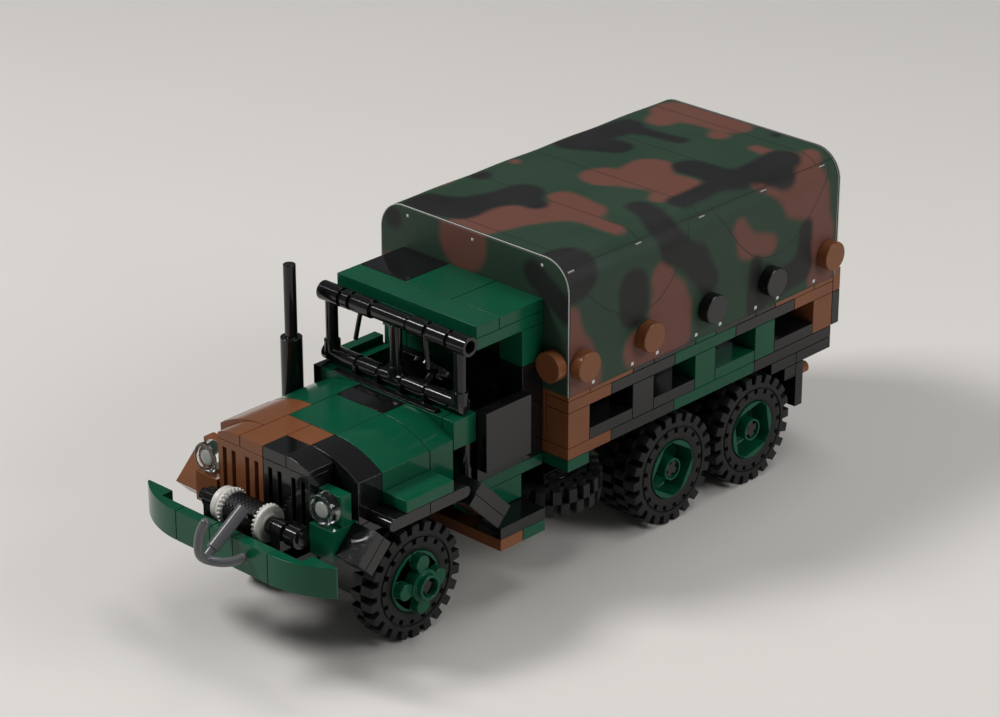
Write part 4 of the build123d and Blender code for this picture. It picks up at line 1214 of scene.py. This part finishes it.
    def marks(self) -> list[bpy.types.Object]:
        """The white rivets along the hems, the dashes on the shoulders, and a dark rim round each that is a
        painted shadow.

        Returns:
            The three pieces.
        """
        hems, shoulders = (
            [self.on_wrap(places, around) for around in (height, self.girth - height)]
            for places, height in ((self.rivets, self.rivet_height), (self.dashes, self.dash_height))
        )
        spots = [(x, self.low[1] + self.front_setback, self.high[2] - self.front_rivet_drop)
                 for x in self.front_rivets]
        ways = (np.tile(way, (len(spots), 1)) for way in ((1.0, 0.0, 0.0), (0.0, 0.0, 1.0)))
        front = [(np.array(spots), *ways)]
        kinds = (
            ("tarp_rivets", self.rivet_finish.material(),
             ((hems, self.rivet_size), (front, self.front_rivet_size))),
            ("tarp_dashes", self.dash_finish.material(), ((shoulders, self.dash_size),)),
            # Painted shadows: a dark rim under and round each rivet and dash
            ("tarp_rims", self.ink_and_painted_shade, ((hems, self.rivet_shadow_size), (shoulders, self.dash_shadow_size))),
        )
        made = []
        for name, material, groups in kinds:
            parts = [self.pads(rows, sizes) for group, sizes in groups for rows in group]
            made.append(Piece(name, *joined(parts), Slot.CLOTH, closed=False).make(material))
        return made

    def build(self) -> None:
        wrap = self.wrap()
        self.girth * MM
        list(self.marks())
        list(self.hem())
        self.front()


@dataclass
class StepShadeStrips:
    """A thin black strip of painted shade under the step of each mudflap, which closes the line of sight
    between step and tyre where there is only shade.
    """

    inner: float = 22.6
    front: float = 5.6
    run: float = 4.6
    top: float = 25.39
    depth: float = 0.4

    def build(self) -> None:
        """Adds both strips: a rectangle in y and z carried along x and drawn to a point at each end."""
        low, high = node_box("mudflaps")
        y = low[1] + self.front + self.run * np.array([0.0, 1.0, 1.0, 0.0])
        z = self.top - self.depth * np.array([0.0, 0.0, 1.0, 1.0])
        size = np.array([0.0, 1.0, 1.0, 0.0])[:, None]
        x = np.array([self.inner, self.inner, high[0], high[0]])[:, None] + np.zeros_like(y)
        section = [row.mean() + size * (row - row.mean()) for row in (y, z)]
        faces = grid_faces(*x.shape, round_columns=True)
        strips = joined([(np.stack([side * x, *section], axis=-1), faces) for _, side in SIDES])
        # The strips are painted shade: dark pieces that stand in for the shade between step and tyre
        Piece("flap_strips", *strips, Slot.BLACK).make()


@dataclass
class Studio:
    """Pale floor, soft lights, plain world and the camera at the photograph's place."""

    eye: Triple = (0.51998, -0.54295, 0.39163)
    azimuth: float = 43.514
    elevation: float = 24.561
    lens: float = 118.45
    sensor: float = 36.0
    clip: Pair = (0.01, 20.0)
    floor_half: float = 3.0
    floor_rows: int = 9
    floor_finish: MottledSurface = MottledSurface(
        "studio_floor", (0.74, 0.71, 0.67), mottle=(14.0, 4.0), grain=(500.0, 2.0), shades=(0.97, 1.0),
        roughness=(0.55, 0.0, 0.1), relief=(0.1, 0.00003),
    )
    sky: Colour = (0.93, 0.96, 1.0)
    sky_strength: float = 0.13
    # Lamps as name, place, size in x and y, and power
    lamps: tuple[tuple[str, Triple, Pair, float], ...] = (
        ("key", (-0.60, -0.55, 0.95), (0.34, 0.34), 9.8),
        ("top", (0.10, 0.25, 1.0), (0.7, 0.3), 2.8),
        ("fill", (0.85, 0.40, 0.55), (0.5, 0.5), 4.2),
    )
    aim: Triple = (0.0, 0.0, 0.04)

    def floor(self) -> None:
        """A flat square grid at the height the truck stands on."""
        step = np.linspace(-self.floor_half, self.floor_half, self.floor_rows)
        x, y = np.meshgrid(step, step, indexing="ij")
        points = np.stack([x, y, np.zeros_like(x)], axis=-1).reshape(-1, 3)
        mesh = bpy.data.meshes.new("studio_floor")
        mesh.from_pydata(points.tolist(), [], grid_faces(len(step), len(step)).tolist())
        mesh.materials.append(self.floor_finish.material())
        made = bpy.data.objects.new("studio_floor", mesh)
        bpy.context.scene.collection.objects.link(made)

    def light(self) -> None:
        """The world and the soft lamps, each turned towards the truck."""
        world = bpy.data.worlds.new("studio")
        world.use_nodes = True
        background = world.node_tree.nodes["Background"]
        background.inputs["Color"].default_value = (*self.sky, 1.0)
        background.inputs["Strength"].default_value = self.sky_strength
        bpy.context.scene.world = world
        for name, place, size, power in self.lamps:
            lamp = bpy.data.lights.new(name, "AREA")
            lamp.shape = "RECTANGLE"
            lamp.size, lamp.size_y = size
            lamp.energy = power
            made = bpy.data.objects.new(name, lamp)
            made.location = place
            made.rotation_euler = (Vector(self.aim) - Vector(place)).to_track_quat("-Z", "Y").to_euler()
            bpy.context.scene.collection.objects.link(made)

    def camera(self) -> None:
        """The camera, level, at the photograph's viewing angle."""
        data = bpy.data.cameras.new("camera")
        data.lens, data.sensor_width, data.sensor_fit = self.lens, self.sensor, "HORIZONTAL"
        data.clip_start, data.clip_end = self.clip
        made = bpy.data.objects.new("camera", data)
        made.location = self.eye
        made.rotation_euler = (math.radians(90 - self.elevation), 0.0, math.radians(self.azimuth))
        bpy.context.scene.collection.objects.link(made)
        bpy.context.scene.camera = made

    def build(self) -> None:
        """Sets the whole studio up."""
        self.floor()
        self.light()
        self.camera()
        bpy.context.scene.view_settings.view_transform = "Standard"


def main() -> None:
    """Builds the studio and every piece in order."""
    logging.basicConfig(level=logging.INFO, format="%(message)s")
    Studio().build()
    Piece.palette.update({slot: finish.material() for slot, finish in FINISHES.items()})
    shapes = Wheels(LuggedTyre()), TwinHubs(), Winch(), Headlights(), Tarpaulin(), StepShadeStrips()
    for assembly in (*shapes, Brickwork()):
        assembly.build()


if __name__ == "__main__":
    main()
